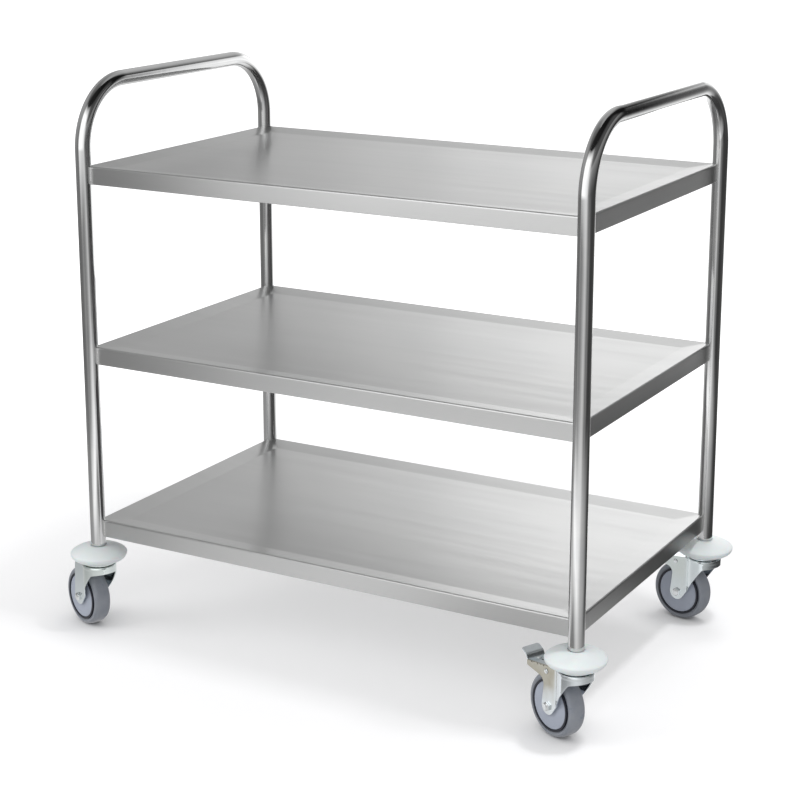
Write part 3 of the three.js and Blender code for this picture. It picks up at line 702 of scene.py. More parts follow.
class Recipe:
    """The shader nodes of a material or a world, added one by one."""

    def __init__(self, owner):
        owner.use_nodes = True
        self.owner = owner
        self.tree = owner.node_tree

    def connect(self, value, socket):
        """Feeds a socket from another node, or with a plain value."""
        if isinstance(value, bpy.types.NodeSocket):
            self.tree.links.new(value, socket)
        else:
            socket.default_value = value

    def node(self, kind, settings=None, **inputs):
        made = self.tree.nodes.new(kind)
        for key, value in (settings or {}).items():
            setattr(made, key, value)
        for key, value in inputs.items():
            self.connect(value, made.inputs[key])
        return made

    def set(self, **inputs):
        """Sets inputs of the material's own shader, with _ for each space in their names."""
        shader = self.tree.nodes["Principled BSDF"]
        for key, value in inputs.items():
            self.connect(value, shader.inputs[key.replace("_", " ")])

    def fed(self, kind, settings, *values):
        """A new node whose first inputs take these values in turn."""
        made = self.node(kind, settings)
        for value, socket in zip(values, made.inputs):
            self.connect(value, socket)
        return made

    def math(self, operation, *values):
        return self.fed("ShaderNodeMath", {"operation": operation}, *values).outputs[0]

    def vector(self, operation, *values):
        made = self.fed("ShaderNodeVectorMath", {"operation": operation}, *values)
        return made.outputs["Value" if operation == "LENGTH" else "Vector"]

    def noise(self, coordinates, scale, detail, roughness=NOISE_ROUGHNESS, stretch=(1, 1, 1)):
        stretched = self.node("ShaderNodeMapping", Vector=coordinates, Scale=stretch).outputs[0]
        made = self.node(
            "ShaderNodeTexNoise", Vector=stretched, Scale=scale, Detail=detail, Roughness=roughness
        )
        return made.outputs["Fac"]

    def spread(self, value, low, high, span=NOISE_SPAN):
        """Turns the value's usual span into low to high."""
        return self.fed("ShaderNodeMapRange", {}, value, *span, low, high).outputs["Result"]

    def blend(self, share, first, second):
        """The first colour where the share is 0, and the second where it is 1."""
        made = self.node("ShaderNodeMix", {"data_type": "RGBA"}, Factor=share)
        sockets = [socket for socket in made.inputs if socket.type == "RGBA"]
        for socket, colour in zip(sockets, (first, second)):
            self.connect((*colour, 1) if isinstance(colour, tuple) else colour, socket)
        return [socket for socket in made.outputs if socket.type == "RGBA"][0]

    def bump(self, height, depth, strength=1.0, normal=None):
        made = self.node("ShaderNodeBump", Height=height, Distance=depth * MM, Strength=strength)
        if normal:
            self.connect(normal, made.inputs["Normal"])
        return made.outputs["Normal"]

    def places(self):
        return self.node("ShaderNodeTexCoord").outputs["Object"]

    def post_distance(self, places):
        """Plan distance from the nearest post's axis, in metres."""
        post = middle_of("rear_right_bumper")
        away = self.vector("SUBTRACT", self.vector("ABSOLUTE", places), (post.x * MM, post.y * MM, 0))
        return self.vector("LENGTH", self.vector("MULTIPLY", away, (1, 1, 0)))

    def looking(self):
        """1 for rays that look at things: straight, in a mirror or through glass."""
        rays = self.node("ShaderNodeLightPath").outputs
        mirrored = self.math("MAXIMUM", rays["Is Camera Ray"], rays["Is Glossy Ray"])
        return self.math("MAXIMUM", mirrored, rays["Is Transmission Ray"])


def material_recipe(name):
    return Recipe(bpy.data.materials.new(name))


def polished_tube():
    """Fine lines up the tube over slow waves in its skin."""
    recipe = material_recipe("polished_tube")
    places = recipe.places()
    patches = recipe.spread(recipe.noise(places, *TUBE_PATCHES), 0, 1)
    lines = recipe.noise(places, *TUBE_LINES, stretch=TUBE_LINE_STRETCH)
    recipe.set(Base_Color=recipe.blend(patches, *TUBE_COLOURS), Metallic=1.0)
    recipe.set(Roughness=recipe.spread(lines, *TUBE_ROUGHNESS))
    waves = recipe.bump(recipe.noise(places, *TUBE_WAVES, stretch=TUBE_WAVE_STRETCH), TUBE_WAVE_DEPTH)
    recipe.set(Normal=recipe.bump(lines, TUBE_LINE_DEPTH, TUBE_LINE_STRENGTH, waves))
    return recipe.owner


def brushed_sheet():
    """Fine strokes along the cart, with slow waves where the sheet lies level."""
    recipe = material_recipe("brushed_sheet")
    flat = recipe.node("ShaderNodeUVMap", {"uv_map": "sheet"}).outputs[0]
    grain = recipe.noise(flat, *SHEET_GRAIN, stretch=SHEET_GRAIN_STRETCH)
    broad = recipe.noise(flat, *SHEET_BROAD, stretch=SHEET_BROAD_STRETCH)
    clouds = recipe.noise(flat, *SHEET_CLOUDS)
    tone = recipe.math("MULTIPLY", recipe.math("ADD", grain, clouds), 1 / 2)
    recipe.set(Base_Color=recipe.blend(recipe.spread(tone, 0, 1), *SHEET_COLOURS), Metallic=1.0)
    recipe.set(Anisotropic=SHEET_ANISOTROPY, Anisotropic_Rotation=SHEET_ANISOTROPY_TURN)
    recipe.set(Roughness=recipe.spread(broad, *SHEET_ROUGHNESS))
    tangent = recipe.node("ShaderNodeTangent", {"direction_type": "UV_MAP", "uv_map": "sheet"})
    recipe.set(Tangent=tangent.outputs[0])
    normal = recipe.node("ShaderNodeTexCoord").outputs["Normal"]
    upward = recipe.node("ShaderNodeSeparateXYZ", Vector=normal).outputs["Z"]
    level = recipe.spread(upward, 0, 1, SHEET_LEVEL_SPAN)
    waves = recipe.bump(recipe.math("MULTIPLY", recipe.noise(flat, *SHEET_WAVES), level), SHEET_WAVE_DEPTH)
    recipe.set(Normal=recipe.bump(grain, SHEET_GRAIN_DEPTH, SHEET_GRAIN_STRENGTH, waves))
    return recipe.owner


def zinc_plating(name):
    """Cloudy plating whose legs take another colour towards their top, on some corners darker and olive.
    """
    recipe = material_recipe(name)
    places = recipe.places()
    bloom = recipe.noise(places, *ZINC_BLOOM)
    height = recipe.node("ShaderNodeSeparateXYZ", Vector=places).outputs["Z"]
    rise = recipe.spread(height, 0, 1, [end * MM for end in ZINC_TINT_HEIGHTS])
    clouds = recipe.spread(recipe.noise(places, *ZINC_CLOUDS), -ZINC_CLOUD_SHARE, ZINC_CLOUD_SHARE)
    beside = recipe.spread(recipe.post_distance(places), 0, 1, [end * MM for end in ZINC_TINT_REACH])
    share = recipe.math("MULTIPLY", recipe.math("ADD", rise, clouds), beside)
    plating = recipe.blend(share, *ZINC_TINTS[name])
    pale = recipe.spread(bloom, *ZINC_BLOOM_SPAN)
    recipe.set(Base_Color=recipe.blend(pale, plating, ZINC_PALE), Metallic=1.0)
    recipe.set(Roughness=recipe.spread(bloom, *ZINC_ROUGHNESS))
    recipe.set(Normal=recipe.bump(recipe.noise(places, *ZINC_WAVES), ZINC_WAVE_DEPTH))
    return recipe.owner


def plain_finish(name):
    """A finish whose colour and roughness drift in clouds, with a fine grain all over."""
    metal, milky, colours, roughness, clouds, grain, depth = PLAIN_FINISHES[name]
    recipe = material_recipe(name)
    places = recipe.places()
    drift = recipe.noise(places, *clouds)
    recipe.set(Base_Color=recipe.blend(recipe.spread(drift, 0, 1), *colours), Metallic=metal)
    recipe.set(Roughness=recipe.spread(drift, *roughness))
    recipe.set(Normal=recipe.bump(recipe.noise(places, *grain), depth, GRAIN_STRENGTH))
    recipe.set(Subsurface_Weight=milky, Subsurface_Scale=MILKY_DEPTH * MM)
    return recipe.owner


def weld_metal():
    recipe = material_recipe("weld_metal")
    ripple = recipe.noise(recipe.places(), *WELD_RIPPLES, stretch=WELD_RIPPLE_STRETCH)
    recipe.set(Base_Color=recipe.blend(recipe.spread(ripple, 0, 1), *WELD_COLOURS), Metallic=1.0)
    recipe.set(Roughness=recipe.spread(ripple, *WELD_ROUGHNESS))
    recipe.set(Normal=recipe.bump(ripple, WELD_RIPPLE_DEPTH))
    return recipe.owner


# End frames

def bent_line(half, top):
    """Stations along a bent frame in the YZ plane: place, direction and flattening."""
    spring = top - BEND_RADIUS
    stations = []
    for step in range(POST_STEPS):
        height = TUBE_BOTTOM + (spring - TUBE_BOTTOM) * step / POST_STEPS
        stations.append(((-half, height), (0, 1), 0))
    for step in range(BEND_STEPS + 1):
        angle = math.pi / 2 * step / BEND_STEPS
        place = (BEND_RADIUS * (1 - math.cos(angle)) - half, spring + BEND_RADIUS * math.sin(angle))
        stations.append((place, (math.sin(angle), math.cos(angle)), math.sin(2 * angle)))
    mirrored = [((-y, z), (dy, -dz), flat) for (y, z), (dy, dz), flat in reversed(stations)]
    return stations + [((0, top), (1, 0), 0)] + mirrored


def end_frame(name, x, half, top):
    """A bent tube with its bore, open at both ends, as one closed skin."""
    line = bent_line(half, top)
    bore = TUBE_RADIUS - TUBE_WALL

    def lip(station, sign):
        """Rings that round off one cut end."""
        (y, z), (dy, dz), flat = station
        rings = []
        for step in range(CORNER_STEPS):
            angle = math.pi / 2 * step / CORNER_STEPS
            shift = sign * TUBE_EDGE * (1 - math.sin(angle))
            shrink = TUBE_EDGE * (1 - math.cos(angle))
            rings.append(((y + dy * shift, z + dz * shift), (dy, dz), flat, TUBE_RADIUS - shrink))
        return rings

    outer = [(*station, TUBE_RADIUS) for station in line[1:-1]]
    inner = [(*station, bore) for station in reversed(line)]
    loop = lip(line[0], 1)[::-1] + outer + lip(line[-1], -1) + inner
    vertices = []
    for (y, z), (dy, dz), flat, radius in loop:
        for side in range(TUBE_SIDES):
            angle = 2 * math.pi * side / TUBE_SIDES
            outward = radius * math.sin(angle) * (1 - BEND_FLATTENING * flat)
            vertices.append((x + radius * math.cos(angle), y - dz * outward, z + dy * outward))
    return mesh_of(name, vertices, ring_faces(len(loop), TUBE_SIDES, closed=True))


# Shelves

def border_height(inside_skirt):
    """Height of the shelf's top face under its rim, at a distance inside the skirt's face."""
    slope = FLOOR_DEPTH / (BORDER_WIDTH - RIM_RADIUS)
    if inside_skirt < RIM_RADIUS:
        reach = RIM_RADIUS - max(inside_skirt, 0)
        return math.sqrt(RIM_RADIUS ** 2 - reach ** 2) - RIM_RADIUS
    return -min(FLOOR_DEPTH, (inside_skirt - RIM_RADIUS) * slope)


def shelf_profile():
    """The sheet's section from the middle of the floor outwards and back, as (inset, height)."""
    slope = math.degrees(math.atan2(FLOOR_DEPTH, BORDER_WIDTH - RIM_RADIUS))
    floor_inset = 2 * BORDER_WIDTH
    centre = (RIM_RADIUS, -RIM_RADIUS)
    bend = RIM_RADIUS - SHEET

    def face(depth):
        """Floor, crease and border at a depth under the sheet's top, without the border's end."""
        floor = -FLOOR_DEPTH - depth
        corners = [(floor_inset, floor), (BORDER_WIDTH, floor, CREASE_RADIUS), (RIM_RADIUS, -depth)]
        return rounded(corners, steps=FINE_STEPS, closed=False)[:-1]

    upper = face(0) + arc(centre, (RIM_RADIUS, RIM_RADIUS), 90 - slope, 180, RIM_STEPS)
    hem = arc((SHEET, SHEET - SKIRT_HEIGHT), (SHEET, SHEET), 180, 360, FINE_STEPS)
    hem += [(2 * SHEET, HEM_HEIGHT - SKIRT_HEIGHT), (SHEET, HEM_HEIGHT - SKIRT_HEIGHT)]
    lower = arc(centre, (bend, bend), 180, 90 - slope, FINE_STEPS) + face(SHEET)[::-1]
    return upper + hem + lower


def shelf(name, low, high, posts):
    """One pressed sheet with its rim at the box's top, notched round the posts."""
    centre, half = (low + high) / 2, (high - low) / 2
    profile = shelf_profile()
    travelled = [0.0]
    for before, after in zip(profile, profile[1:]):
        travelled.append(travelled[-1] + math.dist(before, after))
    vertices, uvs = [], []
    corner = arc((0, 0), (MITRE_RADIUS, MITRE_RADIUS), 0, 90, CORNER_STEPS + 2)
    for (inset_by, height), unrolled in zip(profile, travelled):
        for quarter in range(4):
            sign_x, sign_y = (1, 1, -1, -1)[quarter], (1, -1, -1, 1)[quarter]
            for along_x, along_y in corner[::-1] if quarter % 2 == 0 else corner:
                x = sign_x * (half.x - inset_by - MITRE_RADIUS + along_x)
                y = sign_y * (half.y - inset_by - MITRE_RADIUS + along_y)
                vertices.append((centre.x + x, centre.y + y, high.z + height))
                reach = unrolled + inset_by - profile[0][0]
                uvs.append((x + sign_x * reach, y + sign_y * reach))
    faces = ring_faces(len(profile), 4 * len(corner), capped=True)
    mesh = mesh_of(name, vertices, faces, uvs)
    notches = []
    for post in posts:
        reach = TUBE_RADIUS + SEAT_GAP
        bottom, top = high.z - 2 * SKIRT_HEIGHT, high.z + SKIRT_HEIGHT
        profile = [(0, bottom), (reach, bottom), (reach, top), (0, top)]
        notches.append(turned("notch", profile, TUBE_SIDES, Matrix.Translation((post.x, post.y, 0))))
    return cut(mesh, notches)


def weld_path(rim, post, inward):
    """Middle line of the seam round one post: up a skirt, over the border and down the other."""
    reach = TUBE_RADIUS + SEAT_GAP
    start = math.asin(SKIRT_INSET / reach)
    path = []
    for step in range(WELD_STEPS + 1):
        share = step / WELD_STEPS
        angle = start + (math.pi / 2 - 2 * start) * min(max((share - 1 / 3) * 3, 0), 1)
        x, y = reach * math.cos(angle), reach * math.sin(angle)
        height = min(border_height(x - SKIRT_INSET), border_height(y - SKIRT_INSET))
        drop = SKIRT_HEIGHT - SHEET
        if share < 1 / 3:
            height = -drop + (drop + height) * share * 3
        elif share > 2 / 3:
            height = -drop + (drop + height) * (1 - share) * 3
        across, along = math.copysign(x, inward.x), math.copysign(y, inward.y)
        path.append(Vector((post.x + across, post.y + along, rim + height)))
    return path


def bead(name, path):
    """A closed thin seam along a path, with a ripple in its width."""
    vertices = []
    for index, place in enumerate(path):
        ahead = path[min(index + 1, len(path) - 1)] - path[max(index - 1, 0)]
        side = ahead.orthogonal().normalized()
        up = ahead.normalized().cross(side)
        width = WELD_RADIUS * (1 + random.uniform(-1, 1) * WELD_RIPPLE)
        for step in range(BEAD_SIDES):
            angle = 2 * math.pi * step / BEAD_SIDES
            vertices.append(place + (side * math.cos(angle) + up * math.sin(angle)) * width)
    return mesh_of(name, vertices, ring_faces(len(path), BEAD_SIDES, capped=True))


# Casters: every shape stands under its post at the origin and trails towards -X

def hexagon(name, width, bottom, top, bore, matrix, chamfer_low=True, dome=0.0):
    """A hexagon with its corners turned off at the top, and at the bottom if asked. A dome raises
    the middle of its top face."""
    flat = width / 2
    face = flat * HEX_FACE_SHARE
    bevel = math.tan(math.radians(HEX_BEVEL))
    rim = top - dome

    def section(angle):
        nearest = math.pi / 3 * round(angle / (math.pi / 3))
        reach = flat / math.cos(angle - nearest)
        fall = (reach - face) * bevel
        low = fall if chamfer_low else 0
        side = [(bore, bottom), (face, bottom), (reach, bottom + low), (reach, rim - fall), (face, rim)]
        return side + (arc((bore, rim), (face - bore, dome), 0, 90)[1:] if dome else [(bore, top)])

    return swept(name, section, BOLT_SIDES, matrix)


def both_halves(upper):
    """A closed profile from its upper half, which runs inwards, mirrored below for its start."""
    return [(radius, -height, *rest) for radius, height, *rest in reversed(upper)] + upper


def threaded(radius, bottom, top):
    """Profile points of a threaded shank from its bottom to its top, seen from outside."""
    points = []
    turns = max(1, round((top - bottom) / THREAD_PITCH))
    pitch = (top - bottom) / turns
    for turn in range(turns):
        points.append((radius - THREAD_DEPTH, bottom + turn * pitch))
        points.append((radius, bottom + (turn + 1 / 2) * pitch))
    points.append((radius - THREAD_DEPTH, top))
    return points


def post_insert():
    radius = TUBE_RADIUS - TUBE_WALL - SEAT_GAP
    bore = CASTER_BOLT_BORE
    top = TUBE_BOTTOM + INSERT_HEIGHT
    corners = [(bore, TUBE_BOTTOM), (radius, TUBE_BOTTOM), (radius, top), (bore, top)]
    return turned("post_insert", rounded(corners, SMALL_EDGE), BOLT_SIDES)


def bumper():
    waist = BUMPER_BOTTOM + BUMPER_WAIST
    top = BUMPER_BOTTOM + BUMPER_HEIGHT
    foot = BUMPER_RADIUS - BUMPER_FOOT_RADIUS
    dome = BUMPER_RADIUS - BUMPER_NECK_RADIUS
    profile = [(CASTER_BOLT_BORE, BUMPER_BOTTOM)]
    profile += arc((BUMPER_FOOT_RADIUS, waist), (foot, BUMPER_WAIST), -90, 0, 2 * ARC_STEPS)
    for across, up in arc((0, 0), (1, 1), 0, 90, 2 * ARC_STEPS)[1:]:
        radius = BUMPER_NECK_RADIUS + dome * max(across, 0) ** BUMPER_SLOPE
        profile.append((radius, waist + (top - waist) * up ** BUMPER_SLOPE))
    profile += [(BUMPER_NECK_RADIUS, top - SEAT_GROOVE), (CASTER_BOLT_BORE, top - SEAT_GROOVE)]
    return turned("bumper", profile)


def swivel_head():
    lip_top = MOUNT_HEIGHT - LIP_DROP
    lip_low = lip_top - LIP_THICKNESS
    lip_inner = CROWN_RADIUS - FORK_SHEET - RUNNING_GAP
    rolled = LIP_THICKNESS * LIP_ROLL_SHARE
    return turned("swivel_head", rounded([
        (CASTER_BOLT_BORE, FLARE_BOTTOM),
        (FLARE_RADIUS, FLARE_BOTTOM, SMALL_EDGE),
        (FLARE_RADIUS, FLARE_TOP, SMALL_EDGE),
        (RIVET_RADIUS, FLARE_TOP),
        (RIVET_RADIUS, PLATE_BOTTOM),
        (lip_inner, PLATE_BOTTOM),
        (lip_inner, lip_low, SMALL_EDGE),
        (CROWN_RADIUS, lip_low, rolled),
        (CROWN_RADIUS, lip_top, rolled),
        (PLATE_RADIUS, lip_top, SMALL_EDGE),
        (PLATE_RADIUS, MOUNT_HEIGHT, SMALL_EDGE),
        (CASTER_BOLT_BORE, MOUNT_HEIGHT),
    ]))


def caster_bolt():
    head_top = FLARE_BOTTOM - SEAT_GAP
    head_low = head_top - CASTER_BOLT_HEAD_HEIGHT
    head = hexagon(
        "head", CASTER_BOLT_HEAD_WIDTH, -head_top, -head_low, 0, Matrix.Rotation(math.pi, 4, "X"), False
    )
    shank = threaded(CASTER_BOLT_RADIUS, head_top - SEAT_GAP, TUBE_BOTTOM + INSERT_HEIGHT)
    profile = [(0, shank[0][1])] + shank + [(0, shank[-1][1])]
    return joined("caster_bolt", [head, turned("shank", profile, BOLT_SIDES)])


def ball_ring():
    inner = BALL_CIRCLE_RADIUS - CAGE_WIDTH / 2
    outer = BALL_CIRCLE_RADIUS + CAGE_WIDTH / 2
    low, high = BALL_HEIGHT - CAGE_THICKNESS / 2, BALL_HEIGHT + CAGE_THICKNESS / 2
    corners = [(inner, low), (outer, low), (outer, high), (inner, high)]
    parts = [turned("cage", rounded(corners, SMALL_EDGE / 2))]
    radius = BALL_DIAMETER / 2
    half = arc((0, 0), (radius, radius), -90, 90, ARC_STEPS)
    for ball in range(BALL_COUNT):
        angle = 2 * math.pi * ball / BALL_COUNT
        x, y = BALL_CIRCLE_RADIUS * math.cos(angle), BALL_CIRCLE_RADIUS * math.sin(angle)
        parts.append(turned("ball", half, 2 * ARC_STEPS, Matrix.Translation((x, y, BALL_HEIGHT))))
    return joined("ball_ring", parts)


class ForkPlan:
    """The fork's outer skin seen from above: a round nose, a concave bend and a flat leg. A place
    on it is known by its travel from the middle of the nose, positive towards +Y."""

    def __init__(self):
        reach = CROWN_RADIUS + FORK_FILLET
        self.fillet = (-math.sqrt(reach ** 2 - (FORK_HALF + FORK_FILLET) ** 2), FORK_HALF + FORK_FILLET)
        self.round_angle = math.atan2(self.fillet[1], self.fillet[0])
        self.round_travel = CROWN_RADIUS * self.round_angle
        self.bend_angle = math.pi / 2 - (math.pi - self.round_angle)
        self.bend_travel = self.round_travel + FORK_FILLET * (math.pi / 2 - self.bend_angle)
        self.joint_x = CROWN_RADIUS * math.cos(self.round_angle)

    def travel(self, x):
        """Travel at which the skin reaches a place along X."""
        if x >= self.joint_x:
            return CROWN_RADIUS * math.acos(min(1, x / CROWN_RADIUS))
        if x > self.fillet[0]:
            turn = math.asin((x - self.fillet[0]) / FORK_FILLET)
            whole = math.pi / 2 - self.bend_angle
            return self.round_travel + FORK_FILLET * (whole - turn)
        return self.bend_travel + self.fillet[0] - x

    def place(self, travel, height, depth):
        """A point of the sheet; depth counts inwards from the outer skin."""
        side = 1 if travel >= 0 else -1
        travel = abs(travel)
        if travel <= self.round_travel:
            angle = travel / CROWN_RADIUS
            radius = CROWN_RADIUS - depth
            x, y = radius * math.cos(angle), radius * math.sin(angle)
        elif travel < self.bend_travel:
            turn = math.pi / 2 - self.bend_angle - (travel - self.round_travel) / FORK_FILLET
            radius = FORK_FILLET + depth
            x, y = self.fillet[0] + radius * math.sin(turn), self.fillet[1] - radius * math.cos(turn)
        else:
            x, y = self.fillet[0] - (travel - self.bend_travel), FORK_HALF - depth
        return (x, side * y, height)


FORK_PLAN = ForkPlan()


def touching_angle(place, centre, radius, side):
    """Angle at which a line from a place touches a circle; side picks one of the two."""
    bearing = math.atan2(place[1] - centre[1], place[0] - centre[0])
    return math.degrees(bearing + side * math.acos(radius / math.dist(place, centre)))


def fork_side(braked):
    """Half of the fork seen from the side, from the nose's lower edge round the leg to the top."""
    axle = (-TRAIL, AXLE_HEIGHT)
    cheek = (CHEEK_REACH, MOUNT_HEIGHT - CHEEK_DEPTH)
    leg_rear = -TRAIL - LEG_OVERHANG
    nose = (CROWN_RADIUS, MOUNT_HEIGHT - NOSE_DEPTH)
    tail = -TRAIL - TAIL_REACH
    tail_top = MOUNT_HEIGHT - TAIL_DROP
    rear = [
        (leg_rear, MOUNT_HEIGHT - TAIL_LEG_DROP, TAIL_LEG_ROUNDING),
        (-TRAIL - TAIL_ROOT_REACH, MOUNT_HEIGHT - TAIL_ROOT_DROP, TAIL_ROOT_ROUNDING),
        (tail, tail_top - TAIL_HEIGHT, TAIL_FOOT_ROUNDING),
        (tail, tail_top, TAIL_TIP_ROUNDING),
        (-CROWN_RADIUS, CROWN_FLOOR, TAIL_CREST_ROUNDING),
    ] if braked else [
        (leg_rear, CROWN_FLOOR, LEG_SHOULDER),
    ]
    front_angle = touching_angle(cheek, axle, BOSS_RADIUS, -1)
    rear_start = rear[0][:2] if braked else (leg_rear, CROWN_FLOOR - LEG_SHOULDER)
    rear_angle = touching_angle(rear_start, axle, BOSS_RADIUS, 1) - 360
    boss = arc(axle, (BOSS_RADIUS, BOSS_RADIUS), front_angle, rear_angle, 2 * ARC_STEPS)
    corners = [nose, (*cheek, CHEEK_ROUNDING), *boss, *rear]
    corners += [(FORK_PLAN.fillet[0], CROWN_FLOOR), (FORK_PLAN.joint_x + CROWN_SHOULDER, CROWN_CEILING)]
    corners.append((CROWN_RADIUS, CROWN_CEILING))
    return rounded(corners, 0, 3 * CORNER_STEPS, closed=False)


def fork(braked):
    """One pressed sheet: a dished round crown whose skirt runs down into two legs."""
    side = resampled(fork_side(braked), PLAN_STEP, closed=False)
    half = [(FORK_PLAN.travel(x), height) for x, height in side]
    half[0] = (0, half[0][1])
    half[-1] = (0, half[-1][1])
    mirrored = [(-travel, height) for travel, height in half[::-1][1:-1]]
    skin = sheet("skin", [half + mirrored], FORK_SHEET, FORK_PLAN.place, FORK_EDGE, PLAN_STEP)
    hole = RIVET_RADIUS + RUNNING_GAP
    crest = CROWN_FLOOR + CROWN_LIP
    inner = CROWN_RADIUS - FORK_SHEET
    hem = CROWN_CEILING - CROWN_LIP
    crown = turned("crown", rounded([
        (hole, CROWN_CEILING, SMALL_EDGE),
        (inner, CROWN_CEILING),
        (inner + FORK_SHEET / 2, hem),
        (CROWN_RADIUS, hem, CROWN_HEM_ROUNDING),
        (CROWN_RADIUS + CROWN_SWELL, (hem + crest) / 2, CROWN_SWELL_ROUNDING),
        (CROWN_RADIUS, crest, CROWN_CREST_ROUNDING),
        (inner, crest, CROWN_DISH_ROUNDING),
        (inner - SHEET, CROWN_FLOOR, SHEET),
        (hole, CROWN_FLOOR, SMALL_EDGE),
    ]))
    return joined("braked_fork" if braked else "fork", [skin, crown])


def axle_bolt():
    nut_end = -AXLE_SEAT - AXLE_NUT_HEIGHT
    top = AXLE_SEAT + AXLE_HEAD_HEIGHT
    head = hexagon("head", AXLE_HEAD_WIDTH, AXLE_SEAT, top, 0, ON_AXLE, False, AXLE_HEAD_DOME)
    tip = nut_end - AXLE_TAIL
    profile = [(0, tip), (AXLE_RADIUS - THREAD_DEPTH, tip)]
    profile += threaded(AXLE_RADIUS, tip + THREAD_DEPTH, nut_end)
    profile += [(AXLE_RADIUS, -AXLE_SEAT), (AXLE_RADIUS, AXLE_SEAT), (0, AXLE_SEAT)]
    return joined("axle_bolt", [head, turned("shank", profile, BOLT_SIDES, ON_AXLE)])


def axle_nut():
    bottom = -AXLE_SEAT - AXLE_NUT_HEIGHT
    return hexagon("axle_nut", AXLE_HEAD_WIDTH, bottom, -AXLE_SEAT, AXLE_BORE, ON_AXLE)


def wheel_core():
    hub = FORK_INNER_WIDTH / 2 - SEAT_GAP
    web = CORE_WEB / 2
    rim = TYRE_SEAT_WIDTH / 2
    rim_inner = CORE_RADIUS - CORE_RIM_DEPTH
    ring_inner = DISC_RADIUS + SEAT_GAP
    ring = rim + CORE_RING
    corners = [(AXLE_BORE, hub), (HUB_RADIUS, hub), (HUB_RADIUS, web), (rim_inner, web), (rim_inner, rim)]
    corners += [(ring_inner, rim), (ring_inner, ring), (CORE_RADIUS, ring)]
    upper = [(*corner, edge) for corner, edge in zip(corners, HUB_ROUNDINGS + CORE_ROUNDINGS)][::-1]
    return turned("wheel_core", rounded(both_halves(upper)), matrix=ON_AXLE)


def tyre():
    inner = CORE_RADIUS + SEAT_GAP
    half, flat = TYRE_WIDTH / 2, TREAD_FLAT / 2
    shoulder = WHEEL_DIAMETER / 2 - SHOULDER_DEPTH
    radii = (SHOULDER_DEPTH, half - flat)
    upper = arc((shoulder, flat), radii, 0, 90, 2 * ARC_STEPS) + [(inner, TYRE_SEAT_WIDTH / 2)]
    return turned("tyre", both_halves(upper), matrix=ON_AXLE)


def wheel_disc(side):
    seat = TYRE_SEAT_WIDTH / 2 + SEAT_GAP
    face = seat + DISC_THICKNESS
    bore = HUB_RADIUS + SEAT_GAP
    profile = rounded([
        (bore, seat),
        (DISC_RADIUS, seat),
        (DISC_RADIUS, face, DISC_RIM_ROUNDING),
        (DISC_RADIUS - DISC_STEP, face, DISC_STEP_ROUNDING),
        (DISC_RADIUS - DISC_STEP - DISC_SLOPE, face - DISC_DISH, DISC_STEP_ROUNDING),
        (HUB_RADIUS + DISC_STEP, face - DISC_DISH, DISC_STEP_ROUNDING),
        (bore, face, DISC_BORE_ROUNDING),
    ])
    flip = Matrix.Identity(4) if side > 0 else Matrix.Rotation(math.pi, 4, "X")
    return turned("wheel_disc", profile, matrix=ON_AXLE @ flip)


# Brakes: shapes are laid out about the pin and moved to it

def pedal_rise(behind):
    """Height of the pedal plate's middle above the pin, at a place behind it."""
    return PEDAL_FRONT_RISE - (PEDAL_AHEAD + behind) * math.tan(PEDAL_SLOPE)


class BentLine:
    """The middle line of a bent strip in the XZ plane, rounded at its bends."""

    def __init__(self, corners, radius):
        self.points = [Vector(point) for point in rounded(corners, radius, FINE_STEPS, closed=False)]
        self.travels = [0.0]
        for before, after in zip(self.points, self.points[1:]):
            self.travels.append(self.travels[-1] + (after - before).length)
        self.length = self.travels[-1]

    def across(self, travel, offset):
        """A point beside the line, the offset to the left of its course."""
        index = 0
        while index < len(self.points) - 2 and travel > self.travels[index + 1]:
            index += 1
        start, end = self.points[index], self.points[index + 1]
        span = self.travels[index + 1] - self.travels[index]
        share = (travel - self.travels[index]) / span
        place = start + (end - start) * share
        here = (end - start).normalized()
        before = (start - self.points[index - 1]).normalized() if index > 0 else here
        following = index + 2 < len(self.points)
        after = (self.points[index + 2] - end).normalized() if following else here
        first, last = (before + here).normalized(), (here + after).normalized()
        course = first.lerp(last, min(max(share, 0), 1)).normalized()
        return place + Vector((-course.y, course.x)) * offset


def strip(name, line, outlines, thickness):
    """A bent strip about the brake's pin. Outlines give travel along the line and place along Y,
    and the outer face lies to the left of the line's course."""

    def place(travel, y, depth):
        point = line.across(travel, thickness / 2 - depth)
        return (point.x + PIN_X, y, point.y + PIN_HEIGHT)

    return sheet(name, outlines, thickness, place, STRIP_EDGE, PLAN_STEP)


